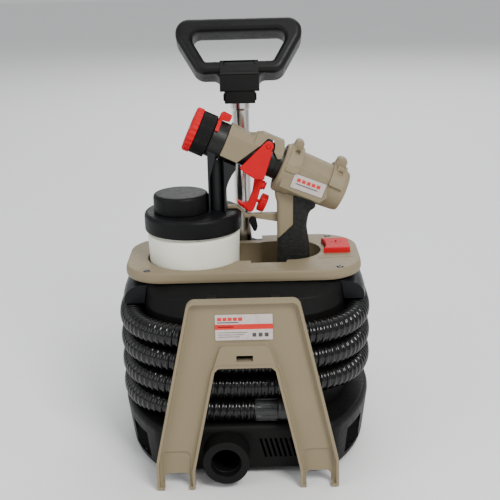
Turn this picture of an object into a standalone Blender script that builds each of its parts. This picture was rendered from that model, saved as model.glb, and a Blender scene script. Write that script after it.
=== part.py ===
"""Floor-standing turbine paint sprayer: hose drum on a turbine base, cup gun parked in the top tray.

Metres, +Z up, front towards -Y. The origin is on the floor, under the middle of the machine.
The gun's own frame has +X back along the barrel, +Z up across it, and its origin on the barrel axis.
"""

import math

import bmesh
import bpy
from mathutils import Matrix, Vector

GAP = 0.0003          # clearance between pieces that touch

# Base
BASE_HALF_WIDTH = 0.1485
BASE_ARC_DEPTH = 0.187       # half depth of the ellipse that the sides follow
BASE_FLAT = 0.141            # half depth where the front and back faces cut that ellipse
BASE_BOTTOM = 0.008
BASE_TOP = 0.0635
BASE_DRAFT = 0.006
WALL = 0.0025

# Drum, with the hose wound round it
DRUM = (0.1202, 0.1122)      # half width and half depth
OVAL_POWER = 2.9
DRUM_TOP = 0.180
TUB_TOP = 0.2068
HOSE_RADIUS = 0.014
HOSE_OVAL = (0.135, 0.127)   # half width and half depth of the hose's centreline
HOSE_LOW = 0.0785            # centreline height of the lowest turn
HOSE_PITCH = 0.029
HOSE_START, HOSE_END = -0.010, 3.36     # in turns, from the middle of the front
CLIMB = (0.42, 0.74)         # the stretch of each turn that climbs to the next row
CUFF_LENGTH = 0.062

# Tray
TRAY_HALF_WIDTH = 0.139
TRAY_HALF_DEPTH = 0.0725
TRAY_Y = 0.0055
TRAY_CORNER = 0.048
TRAY_TOP = 0.220
TRAY_SKIRT = 0.2075
DECK = 0.0028
CUP_WELL = (-0.0586, 0.0, 0.0562)        # x, y, radius
CUP_WELL_FLOOR = 0.137
GUN_WELL_END = (0.055, 0.013, 0.0385)
GUN_WELL_FLOOR = 0.184
WELL_WALL = 0.0018

# Front bracket
BRACKET_TOP = 0.2168
BRACKET_Y_TOP, BRACKET_Y_FOOT = -0.1523, -0.167
BRACKET_DEPTH = 0.010
BRACKET_LIP = 0.003
BRACKET_POCKET = 0.007
HINGE_Y, HINGE_Z = -0.1335, 0.195

# Wheels
WHEEL_RADIUS = 0.036
WHEEL_Y = 0.130
WHEEL_INNER, WHEEL_OUTER = 0.118, 0.140

# Telescopic handle
TUBE_Y = 0.080
GUIDE_TOP = 0.2110
RING_LEAN = math.radians(33)
RING_FOOT = (0.0, 0.062, 0.4298)         # foot of the grip ring's front face
RING_DEPTH = 0.034

# Air outlet and turbine
OUTLET_X, OUTLET_Z = -0.0235, 0.032
OUTLET_RADIUS, OUTLET_BORE = 0.0257, 0.0156
TURBINE = (0.020, -0.005)
GLAND = (-0.050, 0.0475)     # x and z of the mains cable's gland

# Gun and cup
GUN_ORIGIN = (-0.0346, 0.0, 0.3638)
GUN_TILT = math.radians(25)
CUP_X = -0.0586
LID_TOP = 0.2775
LID_BOTTOM = 0.2555
LID_RADIUS = 0.0575
CAP_XY = (-0.0718, -0.004)
CAP_RADIUS = 0.0325
REAR_BODY = ((0.0905, 0.0290, 0.0003), (0.1050, 0.0290, 0.0003), (0.1062, 0.0272, 0.0),
             (0.1445, 0.0254, 0.0012),
             (0.1600, 0.0247, 0.0017))      # position along the barrel, radius and height of the centre
TRIGGER_PIVOT = (0.0644, 0.0202)

TAN, RED = (0.40, 0.36, 0.27), (0.72, 0.045, 0.035)
BLACK, DARK = (0.017, 0.018, 0.017), (0.03, 0.032, 0.033)


# ---------------------------------------------------------------- materials and objects

def material(name, colour, roughness, metallic=0.0):
    made = bpy.data.materials.new(name)
    made.use_nodes = True
    shader = made.node_tree.nodes["Principled BSDF"]
    shader.inputs["Base Color"].default_value = (*colour, 1.0)
    shader.inputs["Roughness"].default_value = roughness
    shader.inputs["Metallic"].default_value = metallic
    return made


def add(name, shape, paint, at=(0, 0, 0), parent=None, turn=(0, 0, 0)):
    """Makes an object from (points, faces), given relative to its own origin."""
    points, faces = shape
    mesh = bpy.data.meshes.new(name)
    mesh.from_pydata([tuple(p) for p in points], [], faces)
    form = bmesh.new()
    form.from_mesh(mesh)
    bmesh.ops.recalc_face_normals(form, faces=form.faces)
    form.to_mesh(mesh)
    form.free()
    piece = bpy.data.objects.new(name, mesh)
    bpy.context.collection.objects.link(piece)
    piece.location, piece.rotation_euler, piece.parent = at, turn, parent
    if paint:
        mesh.materials.append(paint)
    mesh.shade_smooth()
    mesh.set_sharp_from_angle(angle=math.radians(35))
    bpy.context.view_layer.update()
    return piece


def combine(piece, shape, how="DIFFERENCE"):
    """Cuts, joins or intersects a piece with a shape given in the piece's own frame."""
    tool = add("tool", shape, None)
    tool.matrix_world = piece.matrix_world
    step = piece.modifiers.new(how.lower(), "BOOLEAN")
    step.operation, step.solver, step.object = how, "EXACT", tool
    bpy.context.view_layer.update()
    made = bpy.data.meshes.new_from_object(piece.evaluated_get(bpy.context.evaluated_depsgraph_get()))
    piece.modifiers.clear()
    piece.data = made
    bpy.data.objects.remove(tool)
    return piece


def frame(name, at, turn=(0, 0, 0)):
    holder = bpy.data.objects.new(name, None)
    bpy.context.collection.objects.link(holder)
    holder.location, holder.rotation_euler = at, turn
    bpy.context.view_layer.update()
    return holder


# ---------------------------------------------------------------- outlines and shapes

def oval(half_x, half_y, power=OVAL_POWER, count=40, centre=(0, 0)):
    """Points of a superellipse."""
    points = []
    for k in range(count):
        c, s = math.cos(2 * math.pi * k / count), math.sin(2 * math.pi * k / count)
        points.append((centre[0] + half_x * math.copysign(abs(c) ** (2 / power), c),
                       centre[1] + half_y * math.copysign(abs(s) ** (2 / power), s)))
    return points


def circle(radius, count=32, centre=(0, 0), start=0.0, sweep=2 * math.pi):
    steps = count if sweep == 2 * math.pi else count - 1
    return [(centre[0] + radius * math.cos(start + sweep * k / steps),
             centre[1] + radius * math.sin(start + sweep * k / steps)) for k in range(count)]


def rounded(corners, per_corner=5):
    """A polygon whose corners (x, y, radius) are rounded."""
    points = []
    for k, (x, y, radius) in enumerate(corners):
        here = Vector((x, y))
        before, after = Vector(corners[k - 1][:2]), Vector(corners[(k + 1) % len(corners)][:2])
        a, b = (before - here).normalized(), (after - here).normalized()
        if radius <= 0:
            points.append((x, y))
            continue
        half = a.angle(b) / 2
        reach = radius / math.tan(half)
        middle = here + (a + b).normalized() * (radius / math.sin(half))
        first, last = here + a * reach - middle, here + b * reach - middle
        turn = first.angle_signed(last)
        for i in range(per_corner):
            spin = Matrix.Rotation(-turn * i / (per_corner - 1), 2)
            points.append(tuple(middle + spin @ first))
    return points


def box_outline(x0, x1, y0, y1, radius=0.0, per_corner=5):
    return rounded([(x0, y0, radius), (x1, y0, radius), (x1, y1, radius), (x0, y1, radius)], per_corner)


def inset(outline, amount):
    """Moves every side of an outline inwards by the same amount."""
    area = sum(a[0] * b[1] - b[0] * a[1] for a, b in zip(outline, outline[1:] + outline[:1]))
    sign = 1 if area > 0 else -1
    moved = []
    for k, point in enumerate(outline):
        here = Vector(point)
        ahead = (Vector(outline[(k + 1) % len(outline)]) - here).normalized()
        behind = (here - Vector(outline[k - 1])).normalized()
        normal = (Vector((-ahead.y, ahead.x)) + Vector((-behind.y, behind.x))) * sign
        normal.normalize()
        slant = max(0.4, abs(normal.dot(Vector((-ahead.y, ahead.x)))))
        moved.append(tuple(here + normal * amount / slant))
    return moved


def skin(loops, ring=False):
    """Faces between loops of equal length; the ends are capped, or joined to each other in a ring."""
    count, points, faces = len(loops[0]), [p for loop in loops for p in loop], []
    last = len(loops) if ring else len(loops) - 1
    for i in range(last):
        j = (i + 1) % len(loops)
        for k in range(count):
            m = (k + 1) % count
            faces.append((i * count + k, i * count + m, j * count + m, j * count + k))
    if not ring:
        faces.append(tuple(range(count)))
        faces.append(tuple((len(loops) - 1) * count + k for k in range(count)))
    return points, faces


def upright(levels, ring=False):
    """Skin of (outline, z) levels."""
    return skin([[(x, y, z) for x, y in outline] for outline, z in levels], ring)


def prism(outline, low, high, along="Z", chamfer=0.0):
    """An outline extruded along an axis; along Y the outline is read as (x, z), along X as (y, z)."""
    place = {"Z": lambda p, h: (p[0], p[1], h), "Y": lambda p, h: (p[0], h, p[1]),
             "X": lambda p, h: (h, p[0], p[1])}[along]
    levels = [(outline, low), (outline, high)]
    if chamfer:
        small = inset(outline, chamfer)
        levels = [(small, low), (outline, low + chamfer), (outline, high - chamfer), (small, high)]
    return skin([[place(p, h) for p in shape] for shape, h in levels])


def box(x0, x1, y0, y1, z0, z1):
    return prism([(x0, y0), (x1, y0), (x1, y1), (x0, y1)], z0, z1)


def turned(profile, axis="Z", centre=(0, 0), count=32, ring=False):
    """A profile of (radius, height) turned round an axis that passes through centre."""
    loops = []
    for radius, height in profile:
        ring_points = circle(radius, count)
        if axis == "Z":
            loops.append([(centre[0] + a, centre[1] + b, height) for a, b in ring_points])
        elif axis == "Y":
            loops.append([(centre[0] + a, height, centre[1] + b) for a, b in ring_points])
        else:
            loops.append([(height, centre[0] + a, centre[1] + b) for a, b in ring_points])
    return skin(loops, ring)


def lofted(levels, count=32, ring=False):
    """Circles across the X axis, each given by its position, radius and the height of its centre."""
    loops = []
    for x, radius, height in levels:
        angles = [2 * math.pi * k / count for k in range(count)]
        loops.append([(x, radius * math.cos(a), height + radius * math.sin(a)) for a in angles])
    return skin(loops, ring)


def rod(radius, low, high, axis="Z", centre=(0, 0), count=24):
    return turned([(radius, low), (radius, high)], axis, centre, count)


def pipe(outer, inner, low, high, axis="Z", centre=(0, 0), count=24):
    return turned([(inner, low), (outer, low), (outer, high), (inner, high)], axis, centre, count, True)


def moved(shape, matrix):
    points, faces = shape
    return [tuple(matrix @ Vector(p)) for p in points], faces


# ---------------------------------------------------------------- base

def base_plan(shrink=0.0):
    """The base's plan: two elliptical sides, cut flat at the front and back, with round corners."""
    wide, deep, flat = BASE_HALF_WIDTH - shrink, BASE_ARC_DEPTH - shrink, BASE_FLAT - shrink
    corner_x = wide * math.sqrt(1 - (flat / deep) ** 2)
    reach = math.asin(0.93 * flat / deep)
    side = [(wide * math.cos(t), deep * math.sin(t))
            for t in (reach * (k / 4 - 1) for k in range(9))]
    start, corner, end = Vector(side[-1]), Vector((corner_x, flat)), Vector((corner_x - 0.014, flat))
    for t in (0.35, 0.7, 1.0):
        side.append(tuple(start * (1 - t) ** 2 + corner * 2 * t * (1 - t) + end * t * t))
    lower = [(x, -y) for x, y in reversed(side[-3:])]
    right = lower + side
    left = [(-x, -y) for x, y in right]
    return right + left


def drum_plan_like(outline, half_x, half_y):
    """Points of the drum's oval in the same directions as an outline's points."""
    points = []
    for x, y in outline:
        angle = math.atan2(y, x)
        c, s = abs(math.cos(angle)), abs(math.sin(angle))
        far = ((c / half_x) ** OVAL_POWER + (s / half_y) ** OVAL_POWER) ** (-1 / OVAL_POWER)
        points.append((far * math.cos(angle), far * math.sin(angle)))
    return points


def base_levels():
    plan = base_plan()
    outside = [(base_plan(BASE_DRAFT), BASE_BOTTOM), (plan, 0.056), (base_plan(0.0015), 0.0605),
               (base_plan(0.006), BASE_TOP)]
    hole = drum_plan_like(plan, 0.110, 0.106)
    inside = [(hole, BASE_TOP), (hole, BASE_TOP - WALL), (base_plan(0.0075), BASE_TOP - WALL),
              (base_plan(WALL), 0.056), (base_plan(BASE_DRAFT + WALL), BASE_BOTTOM)]
    return outside, inside


def window_frame():
    """Position and heading of the right-hand intake window, on the base's front corner."""
    return Vector((0.1215, -0.0945)), math.atan2(0.040, 0.025)


def window_shape(width, low, high, near, far, side):
    """A box across the base's wall at an intake window, from far outside to near inside."""
    centre, heading = window_frame()
    along = Vector((math.cos(heading), math.sin(heading)))
    out = Vector((along.y, -along.x))
    corners = [centre + along * a + out * o for a, o in
               ((-width / 2, near), (width / 2, near), (width / 2, far), (-width / 2, far))]
    return prism([(side * p.x, p.y) for p in corners], low, high)


def wheel_arch(side, radius, inner, outer):
    x0, x1 = sorted((side * inner, side * outer))
    return rod(radius, x0, x1, "X", (WHEEL_Y, WHEEL_RADIUS), 28)


def make_base(black):
    outside, inside = base_levels()
    base = add("base_housing", upright(outside + inside, ring=True), black)
    for side in (-1, 1):
        liner = add("liner", wheel_arch(side, WHEEL_RADIUS + 0.006, 0.1095, 0.16), black)
        combine(liner, upright(outside), "INTERSECT")
        combine(base, ([v.co for v in liner.data.vertices],
                       [tuple(p.vertices) for p in liner.data.polygons]), "UNION")
        bpy.data.objects.remove(liner)
        combine(base, wheel_arch(side, WHEEL_RADIUS + 0.0035, 0.1125, 0.20))
        combine(base, window_shape(0.044, 0.0125, 0.0455, -0.02, 0.03, side))
    combine(base, rod(0.0038, -0.13, 0.13, "X", (WHEEL_Y, WHEEL_RADIUS), 12))
    combine(base, rod(OUTLET_RADIUS + GAP, -0.160, -0.125, "Y", (OUTLET_X, OUTLET_Z), 32))
    combine(base, rod(0.0058, 0.12, 0.16, "Y", GLAND, 12))
    for slot in range(9):
        combine(base, vent_slot(0.0135 + 0.0056 * slot))


def vent_slot(x):
    """One slanted slot through the front wall."""
    width, low, high, lean = 0.0027, 0.0225, 0.0475, 0.0062
    outline = [(x, high), (x + width, high), (x + width + lean, low), (x + lean, low)]
    return prism(outline, -0.150, -0.125, "Y")


def make_base_plate(black):
    plate = add("base_plate", prism(base_plan(BASE_DRAFT + WALL + 0.0008), 0.0095, 0.0120), black)
    for side in (-1, 1):
        combine(plate, wheel_arch(side, WHEEL_RADIUS + 0.0065, 0.1090, 0.20))
    for row in range(5):
        for x in (-0.045, 0.010):
            combine(plate, box(x, x + 0.035, 0.010 + 0.010 * row, 0.014 + 0.010 * row, 0.0, 0.02))


def make_intake_grille(name, side, black):
    grille = add(name, window_shape(0.0432, 0.0130, 0.0450, -0.004, -0.0018, side), black)
    for row in range(5):
        low = 0.0165 + 0.0056 * row
        combine(grille, window_shape(0.036, low, low + 0.0028, -0.02, 0.03, side))


def make_feet(rubber):
    for name, side in (("foot_left", -1), ("foot_right", 1)):
        profile = [(0.0085, 0.0), (0.0095, 0.001), (0.0088, 0.0095 - GAP)]
        add(name, turned(profile, centre=(side * 0.085, -0.112), count=14), rubber)


def make_wheels(rubber, steel):
    half = (WHEEL_OUTER - WHEEL_INNER) / 2
    profile = [(0.0040, -half), (0.0110, -half), (0.0110, -half + 0.004), (0.0270, -half + 0.004),
               (0.0290, -half), (0.0345, -half), (WHEEL_RADIUS, -half + 0.003), (WHEEL_RADIUS, half - 0.003),
               (0.0345, half), (0.0290, half), (0.0270, half - 0.004), (0.0110, half - 0.004),
               (0.0110, half), (0.0040, half)]
    for name, side in (("wheel_left", -1), ("wheel_right", 1)):
        middle = side * (WHEEL_INNER + WHEEL_OUTER) / 2
        add(name, turned(profile, "X", count=26, ring=True), rubber, at=(middle, WHEEL_Y, WHEEL_RADIUS))
    end, shoulder = 0.1435, WHEEL_OUTER + GAP
    profile = [(0.0060, -end), (0.0060, -shoulder), (0.0035, -shoulder), (0.0035, shoulder),
               (0.0060, shoulder), (0.0060, end)]
    add("wheel_axle", turned(profile, "X", (WHEEL_Y, WHEEL_RADIUS), 12), steel)


def make_outlet(black):
    profile = [(OUTLET_BORE + 0.0012, -0.167), (OUTLET_RADIUS - 0.0015, -0.167), (OUTLET_RADIUS, -0.1655),
               (OUTLET_RADIUS, -0.1370), (0.0185, -0.1370), (0.0185, -0.098), (OUTLET_BORE, -0.098),
               (OUTLET_BORE, -0.1655)]
    add("air_outlet", turned(profile, "Y", (OUTLET_X, OUTLET_Z), 30, True), black)


def make_cable_gland(rubber):
    profile = [(0.0030, 0.1340), (0.0055, 0.1340), (0.0055, 0.1413), (0.0078, 0.1413), (0.0078, 0.1450),
               (0.0055, 0.1570), (0.0030, 0.1570)]
    add("cable_gland", turned(profile, "Y", GLAND, 12, True), rubber)


# ---------------------------------------------------------------- drum and hose

def tub_levels(grow=0.0):
    """Outlines of the drum and of the tub above it, which narrows to the tray's depth."""
    sections = ((DRUM[0], DRUM[1], 0.0, 2.9, BASE_TOP + GAP), (DRUM[0], DRUM[1], 0.0, 2.9, DRUM_TOP),
                (0.1215, 0.0930, 0.003, 3.2, 0.1930), (0.1280, 0.0680, 0.0055, 4.0, TUB_TOP))
    return [(oval(a + grow, b + grow, power, 40, (0, y)), z) for a, b, y, power, z in sections]


def guide_cutter():
    return rod(0.0155, 0.170, 0.30, "Z", (0, TUBE_Y))


def make_drum(black):
    outer, inner = tub_levels(), tub_levels(-0.0020)
    drum = add("drum_shell", upright(outer + inner[::-1], ring=True), black)
    combine(drum, guide_cutter())
    for side in (-1, 1):
        x0, x1 = sorted((side * 0.031, side * 0.041))
        arm = [(HINGE_Y - 0.0055, HINGE_Z - 0.007), (-0.0930, HINGE_Z - 0.007), (-0.0880, HINGE_Z + 0.007),
               (HINGE_Y - 0.0055, HINGE_Z + 0.007)]
        combine(drum, prism(arm, x0, x1, "X"), "UNION")
        combine(drum, rod(0.0029, x0 - 0.01, x1 + 0.01, "X", (HINGE_Y, HINGE_Z), 16))


def make_shoulder(black):
    """Domed shoulder over the top turn of hose, round the sides and back of the tub."""
    rings = ((0.1435, 0.1808), (0.1435, 0.1845), (0.1412, 0.1905), (0.1360, 0.1960), (0.1280, 0.2000),
             (0.1180, 0.2030))
    shoulder = add("hose_shoulder", upright([(oval(a, a - 0.008), z) for a, z in rings]), black)
    grown = tub_levels(0.0010)
    grown = [(grown[0][0], 0.17)] + grown[1:] + [(grown[-1][0], 0.23)]
    combine(shoulder, upright(grown))
    combine(shoulder, box(-0.2, 0.2, -0.2, -0.055, 0.1, 0.3))
    combine(shoulder, guide_cutter())


def hose_plan():
    """The centreline's oval as a closed list, with the length along it at each point."""
    fine = [(-x, y) for x, y in oval(*HOSE_OVAL, count=720)]
    lengths = [0.0]
    for a, b in zip(fine, fine[1:] + fine[:1]):
        lengths.append(lengths[-1] + math.dist(a, b))
    return fine + fine[:1], lengths


def hose_point(turns, plan, lengths):
    """A point on the hose's centreline: turns counts from the middle of the front, leftwards."""
    part = (turns + 0.75) % 1.0 * lengths[-1]
    k = min(range(len(lengths)), key=lambda i: abs(lengths[i] - part))
    x, y = plan[k]
    whole, rest = math.floor(turns), turns % 1.0
    climb = min(1.0, max(0.0, (rest - CLIMB[0]) / (CLIMB[1] - CLIMB[0])))
    return x, y, HOSE_LOW + HOSE_PITCH * (whole + climb * climb * (3 - 2 * climb))


def make_hose(black, dark):
    plan, lengths = hose_plan()
    count = 80
    points = [hose_point(HOSE_START + (HOSE_END - HOSE_START) * k / (count - 1), plan, lengths)
              for k in range(count)]
    curve = bpy.data.curves.new("air_hose", "CURVE")
    curve.dimensions, curve.bevel_depth, curve.bevel_resolution = "3D", HOSE_RADIUS, 2
    curve.use_fill_caps = True
    line = curve.splines.new("POLY")
    line.points.add(count - 1)
    for point, place in zip(line.points, points):
        point.co = (*place, 1.0)
    hose = bpy.data.objects.new("air_hose", curve)
    bpy.context.collection.objects.link(hose)
    curve.materials.append(black)
    ends = (("hose_cuff_front", points[0], points[1]), ("hose_cuff_rear", points[-1], points[-2]))
    for name, end, away in ends:
        heading = (Vector(end) - Vector(away)).normalized()
        heading.z = 0.0
        add(name, cuff_shape(), dark, at=Vector(end) + heading * 0.0008,
            turn=(0, 0, math.atan2(heading.y, heading.x)))


def cuff_shape():
    length = CUFF_LENGTH
    profile = [(0.0120, 0.0), (0.0141, 0.0), (0.0141, 0.024), (0.0136, 0.026), (0.0136, 0.050),
               (0.0128, 0.052), (0.0126, length), (0.0110, length), (0.0110, 0.004), (0.0120, 0.004)]
    return turned(profile, "X", count=20, ring=True)


# ---------------------------------------------------------------- tray

def tray_plan(shrink=0.0):
    wide, deep = TRAY_HALF_WIDTH - shrink, TRAY_HALF_DEPTH - shrink
    return box_outline(-wide, wide, TRAY_Y - deep, TRAY_Y + deep, TRAY_CORNER - shrink, 8)


def gun_well(grow=0.0):
    """Outline of the gun's well: a channel from the cup well, a stepped front and a round end."""
    x, y, radius = GUN_WELL_END
    arc = circle(radius + grow, 13, (x, y), -math.pi * 0.43, math.pi * 0.93)
    front = [(-0.014, -0.0255 - grow), (0.0070, -0.0255 - grow), (0.0090 - grow, -0.0340 - grow),
             (0.0500 + grow, -0.0340 - grow), (0.0530, -0.0255 - grow)]
    back = [(0.026, y + radius + grow - 0.004), (0.020, 0.0440 + grow), (-0.022, 0.0440 + grow)]
    return front + arc + back


def button_plan(grow=0.0):
    """Outline of the power button, hollowed along the side that faces the gun's well."""
    left = [(0.0955, 0.0380), (0.0985, 0.0260), (0.0995, 0.0140), (0.0985, 0.0040), (0.0960, -0.0030)]
    right = [(0.1255, -0.0030), (0.1280, -0.0005), (0.1280, 0.0355), (0.1255, 0.0380)]
    return inset(left + right, -grow)


SCREWS = ((-0.111, -0.055), (0.111, -0.055), (-0.105, 0.066), (0.105, 0.066))


def make_tray(tan):
    rim = [(tray_plan(0.0015), TRAY_SKIRT), (tray_plan(), 0.2120), (tray_plan(0.0008), 0.2165),
           (tray_plan(0.0035), TRAY_TOP)]
    tray = add("tray", upright(rim), tan)
    combine(tray, prism(tray_plan(0.0040), 0.19, TRAY_TOP - DECK))
    x, y, radius = CUP_WELL
    bottom = CUP_WELL_FLOOR - 0.0022
    combine(tray, rod(radius + WELL_WALL, bottom, TRAY_TOP - 0.001, "Z", (x, y), 40), "UNION")
    combine(tray, prism(gun_well(WELL_WALL), GUN_WELL_FLOOR - 0.0022, TRAY_TOP - 0.0012), "UNION")
    combine(tray, rod(radius, CUP_WELL_FLOOR, 0.30, "Z", (x, y), 40))
    combine(tray, prism(gun_well(), GUN_WELL_FLOOR, 0.30))
    combine(tray, box(-0.023, 0.023, 0.055, 0.2, 0.19, 0.3))
    combine(tray, prism(button_plan(0.0005), 0.20, 0.30))
    for x, y in SCREWS:
        combine(tray, rod(0.0021, 0.20, 0.30, "Z", (x, y), 12))
        combine(tray, rod(0.0042, 0.2186, 0.30, "Z", (x, y), 16))


def make_screws(steel):
    profile = [(0.0018, 0.2085), (0.0018, 0.2189), (0.0036, 0.2189), (0.0034, 0.2206), (0.0022, 0.2212)]
    for number, place in enumerate(SCREWS, 1):
        add(f"tray_screw_{number}", turned(profile, centre=place, count=10), steel)


def make_power_button(red, dark):
    centre = Vector((0.112, 0.018, 0.2145))
    plan = [(x - centre.x, y - centre.y) for x, y in button_plan()]
    levels = [(plan, 0.0), (plan, 0.0112), (inset(plan, 0.0010), 0.0120)]
    add("power_button", upright(levels), red, at=centre)
    add("switch_body", box(0.0975, 0.1165, 0.004, 0.034, 0.190, 0.2110), dark)


# ---------------------------------------------------------------- front bracket

def bracket_outline():
    """Front view of the bracket: an inverted V with upright feet, as (x, z)."""
    right = rounded([(0.0, BRACKET_TOP, 0), (0.0600, BRACKET_TOP, 0.010), (0.1010, 0.0310, 0)], 5)[:6]
    right += [(0.1010, 0.0310), (0.1010, 0.0030), (0.0990, 0.0006), (0.0600, 0.0006), (0.0582, 0.0030),
              (0.0582, 0.0220)]
    right += rounded([(0.0582, 0.0220, 0), (0.0322, 0.1417, 0.007), (0.0, 0.1417, 0)], 4)[1:5]
    return right + [(-x, z) for x, z in reversed(right[1:])]


def lean(shape):
    """Leans a shape made against y = 0 onto the bracket's front plane."""
    slope = (BRACKET_Y_TOP - BRACKET_Y_FOOT) / BRACKET_TOP
    points, faces = shape
    return [(x, y + BRACKET_Y_FOOT + slope * z - HINGE_Y, z - HINGE_Z) for x, y, z in points], faces


def make_bracket(tan, paper):
    outline = bracket_outline()
    hinge = (0, HINGE_Y, HINGE_Z)
    bracket = add("front_bracket", lean(prism(outline, 0.0, BRACKET_DEPTH, "Y")), tan, at=hinge)
    combine(bracket, lean(prism(inset(outline, BRACKET_LIP), -0.01, BRACKET_POCKET, "Y")))
    boss = rounded([(-0.0345, 0.1380, 0), (0.0345, 0.1380, 0), (0.0245, 0.1660, 0.005),
                    (-0.0245, 0.1660, 0.005)], 4)
    combine(bracket, lean(prism(boss, 0.0006, BRACKET_DEPTH - 0.001, "Y")), "UNION")
    combine(bracket, lean(prism(rounded([(-0.032, 0.120, 0), (0.032, 0.120, 0), (0.032, 0.1417, 0.006),
                                         (-0.032, 0.1417, 0.006)], 4), -0.01, 0.02, "Y")))
    combine(bracket, lean(prism(box_outline(-0.009, 0.009, 0.1490, 0.1557), -0.01, 0.03, "Y")))
    for side in (-1, 1):
        notch = box_outline(*sorted((side * 0.0650, side * 0.0925)), -0.02, 0.0165, 0.006, 4)
        combine(bracket, lean(prism(notch, -0.01, 0.03, "Y")))
        x0, x1 = sorted((side * 0.0414, side * 0.0500))
        block = box(x0, x1, -0.0125, 0.0050, -0.0055, 0.0055)
        combine(bracket, block, "UNION")
        p0, p1 = sorted((side * 0.0330, side * 0.0450))
        combine(bracket, rod(0.0025, p0, p1, "X", (0, 0), 16), "UNION")
    plate = box_outline(-0.0312, 0.0312, 0.1712, 0.2002, 0.0012, 3)
    add("rating_plate", lean(prism(plate, BRACKET_POCKET - 0.0011, BRACKET_POCKET - GAP, "Y")), paper,
        at=hinge)


# ---------------------------------------------------------------- turbine

def make_turbine(black, dark, steel, copper):
    x, y = TURBINE
    fan = [(0.0100, 0.0180), (0.0580, 0.0180), (0.0580, 0.0560), (0.0300, 0.0560), (0.0300, 0.0540),
           (0.0560, 0.0540), (0.0560, 0.0200), (0.0100, 0.0200)]
    housing = add("fan_housing", turned(fan, centre=TURBINE, count=28, ring=True), dark)
    combine(housing, rod(OUTLET_BORE - 0.001, -0.12, -0.02, "Y", (OUTLET_X, OUTLET_Z + 0.004), 20))
    duct = add("outlet_duct", pipe(0.0185, OUTLET_BORE, -0.0977, -0.030, "Y", (OUTLET_X, OUTLET_Z), 28), dark)
    combine(duct, rod(0.0583, 0.0, 0.1, "Z", TURBINE, 28))
    stator = [(0.0225, 0.066), (0.0400, 0.066), (0.0400, 0.104), (0.0225, 0.104)]
    add("motor_stator", turned(stator, centre=TURBINE, count=24, ring=True), copper)
    wheel = [(0.0043, 0.024), (0.0510, 0.024), (0.0510, 0.0265), (0.0250, 0.0300), (0.0250, 0.0420),
             (0.0200, 0.0420), (0.0110, 0.0320), (0.0110, 0.0440), (0.0043, 0.0440)]
    add("impeller", turned([(r, z - 0.034) for r, z in wheel], count=24, ring=True), steel, at=(x, y, 0.034))
    shaft = [(0.0040, 0.0205), (0.0040, 0.0700), (0.0212, 0.0700), (0.0212, 0.1000), (0.0110, 0.1030),
             (0.0110, 0.1160), (0.0040, 0.1170), (0.0040, 0.1270)]
    add("motor_armature", turned([(r, z - 0.085) for r, z in shaft], count=16), steel, at=(x, y, 0.085))
    mount = add("motor_mount", pipe(0.0440, 0.0404, 0.0566, 0.1000, "Z", TURBINE, 24), black)
    combine(mount, box(x - 0.01, x + 0.01, y - 0.06, y + 0.06, 0.066, 0.094))


# ---------------------------------------------------------------- handle

def make_tubes(black, chrome):
    add("guide_tube", pipe(0.0150, 0.0132, 0.0165, GUIDE_TOP, "Z", (0, TUBE_Y), 24), black)
    add("tube_clamp", pipe(0.0205, 0.0153, TUB_TOP + GAP, 0.2115, "Z", (0, TUBE_Y), 24), black)
    add("middle_tube", pipe(0.0128, 0.0112, 0.0, GUIDE_TOP - 0.0190, "Z", count=24), chrome,
        at=(0, TUBE_Y, 0.0200))
    profile = [(0.0094, 0.0), (0.01075, 0.0), (0.01075, 0.3588), (0.0118, 0.3608), (0.0118, 0.3678),
               (0.01075, 0.3680), (0.01075, 0.3830), (0.0094, 0.3830)]
    add("handle_tube", turned(profile, count=24, ring=True), chrome, at=(0, TUBE_Y, 0.0225))


def ring_outline():
    right = [(0.0505, 0.0, 0.016), (0.0770, 0.0483, 0.026), (0.0770, 0.0735, 0.0175)]
    return rounded(right + [(-x, z, r) for x, z, r in reversed(right)], 6)


def ring_opening(grow=0.0):
    points = rounded([(0.0410, 0.0160, 0.002), (0.0628, 0.0560, 0.009), (-0.0628, 0.0560, 0.009),
                      (-0.0410, 0.0160, 0.002)], 5)
    return inset(points, -grow)


def make_grip_ring(black):
    foot = RING_FOOT
    lean_back = (-RING_LEAN, 0, 0)
    ring = add("grip_ring", prism(ring_outline(), 0.0, RING_DEPTH, "Y", 0.0018), black,
               at=foot, turn=lean_back)
    mouth = [[(x, y, z) for x, z in ring_opening(g)] for g, y in
             ((0.006, -0.001), (0.0, 0.005), (0.0, RING_DEPTH - 0.005), (0.006, RING_DEPTH + 0.001))]
    combine(ring, skin(mouth))
    ring.data.transform(ring.matrix_world)
    ring.matrix_world = Matrix.Identity(4)
    bpy.context.view_layer.update()
    neck = [(-0.0240, 0.4057), (0.0240, 0.4057), (0.0235, 0.4090), (0.0235, 0.4310), (-0.0235, 0.4310),
            (-0.0235, 0.4090)]
    combine(ring, prism(neck, 0.0605, 0.0990, "Y", 0.0008), "UNION")
    collar = box_outline(-0.0186, 0.0186, 0.3906, 0.4070, 0.001, 2)
    combine(ring, prism(collar, 0.0655, 0.0945, "Y"), "UNION")
    combine(ring, prism(box_outline(-0.0165, 0.0165, 0.3910, 0.4070), 0.0628, 0.0660, "Y"), "UNION")
    combine(ring, box(-0.0204, 0.0204, 0.074, 0.086, 0.3925, 0.4010), "UNION")
    combine(ring, rod(0.0111, 0.36, 0.4062, "Z", (0, TUBE_Y), 24))
    to_foot = Matrix.Translation(foot) @ Matrix.Rotation(-RING_LEAN, 4, "X")
    combine(ring, moved(box(-0.0186, 0.0186, -0.01, 0.030, 0.0084, 0.0138), to_foot))
    ring.data.transform(Matrix.Translation(-Vector((0, TUBE_Y, 0.4))))
    ring.location = (0, TUBE_Y, 0.4)


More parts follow.
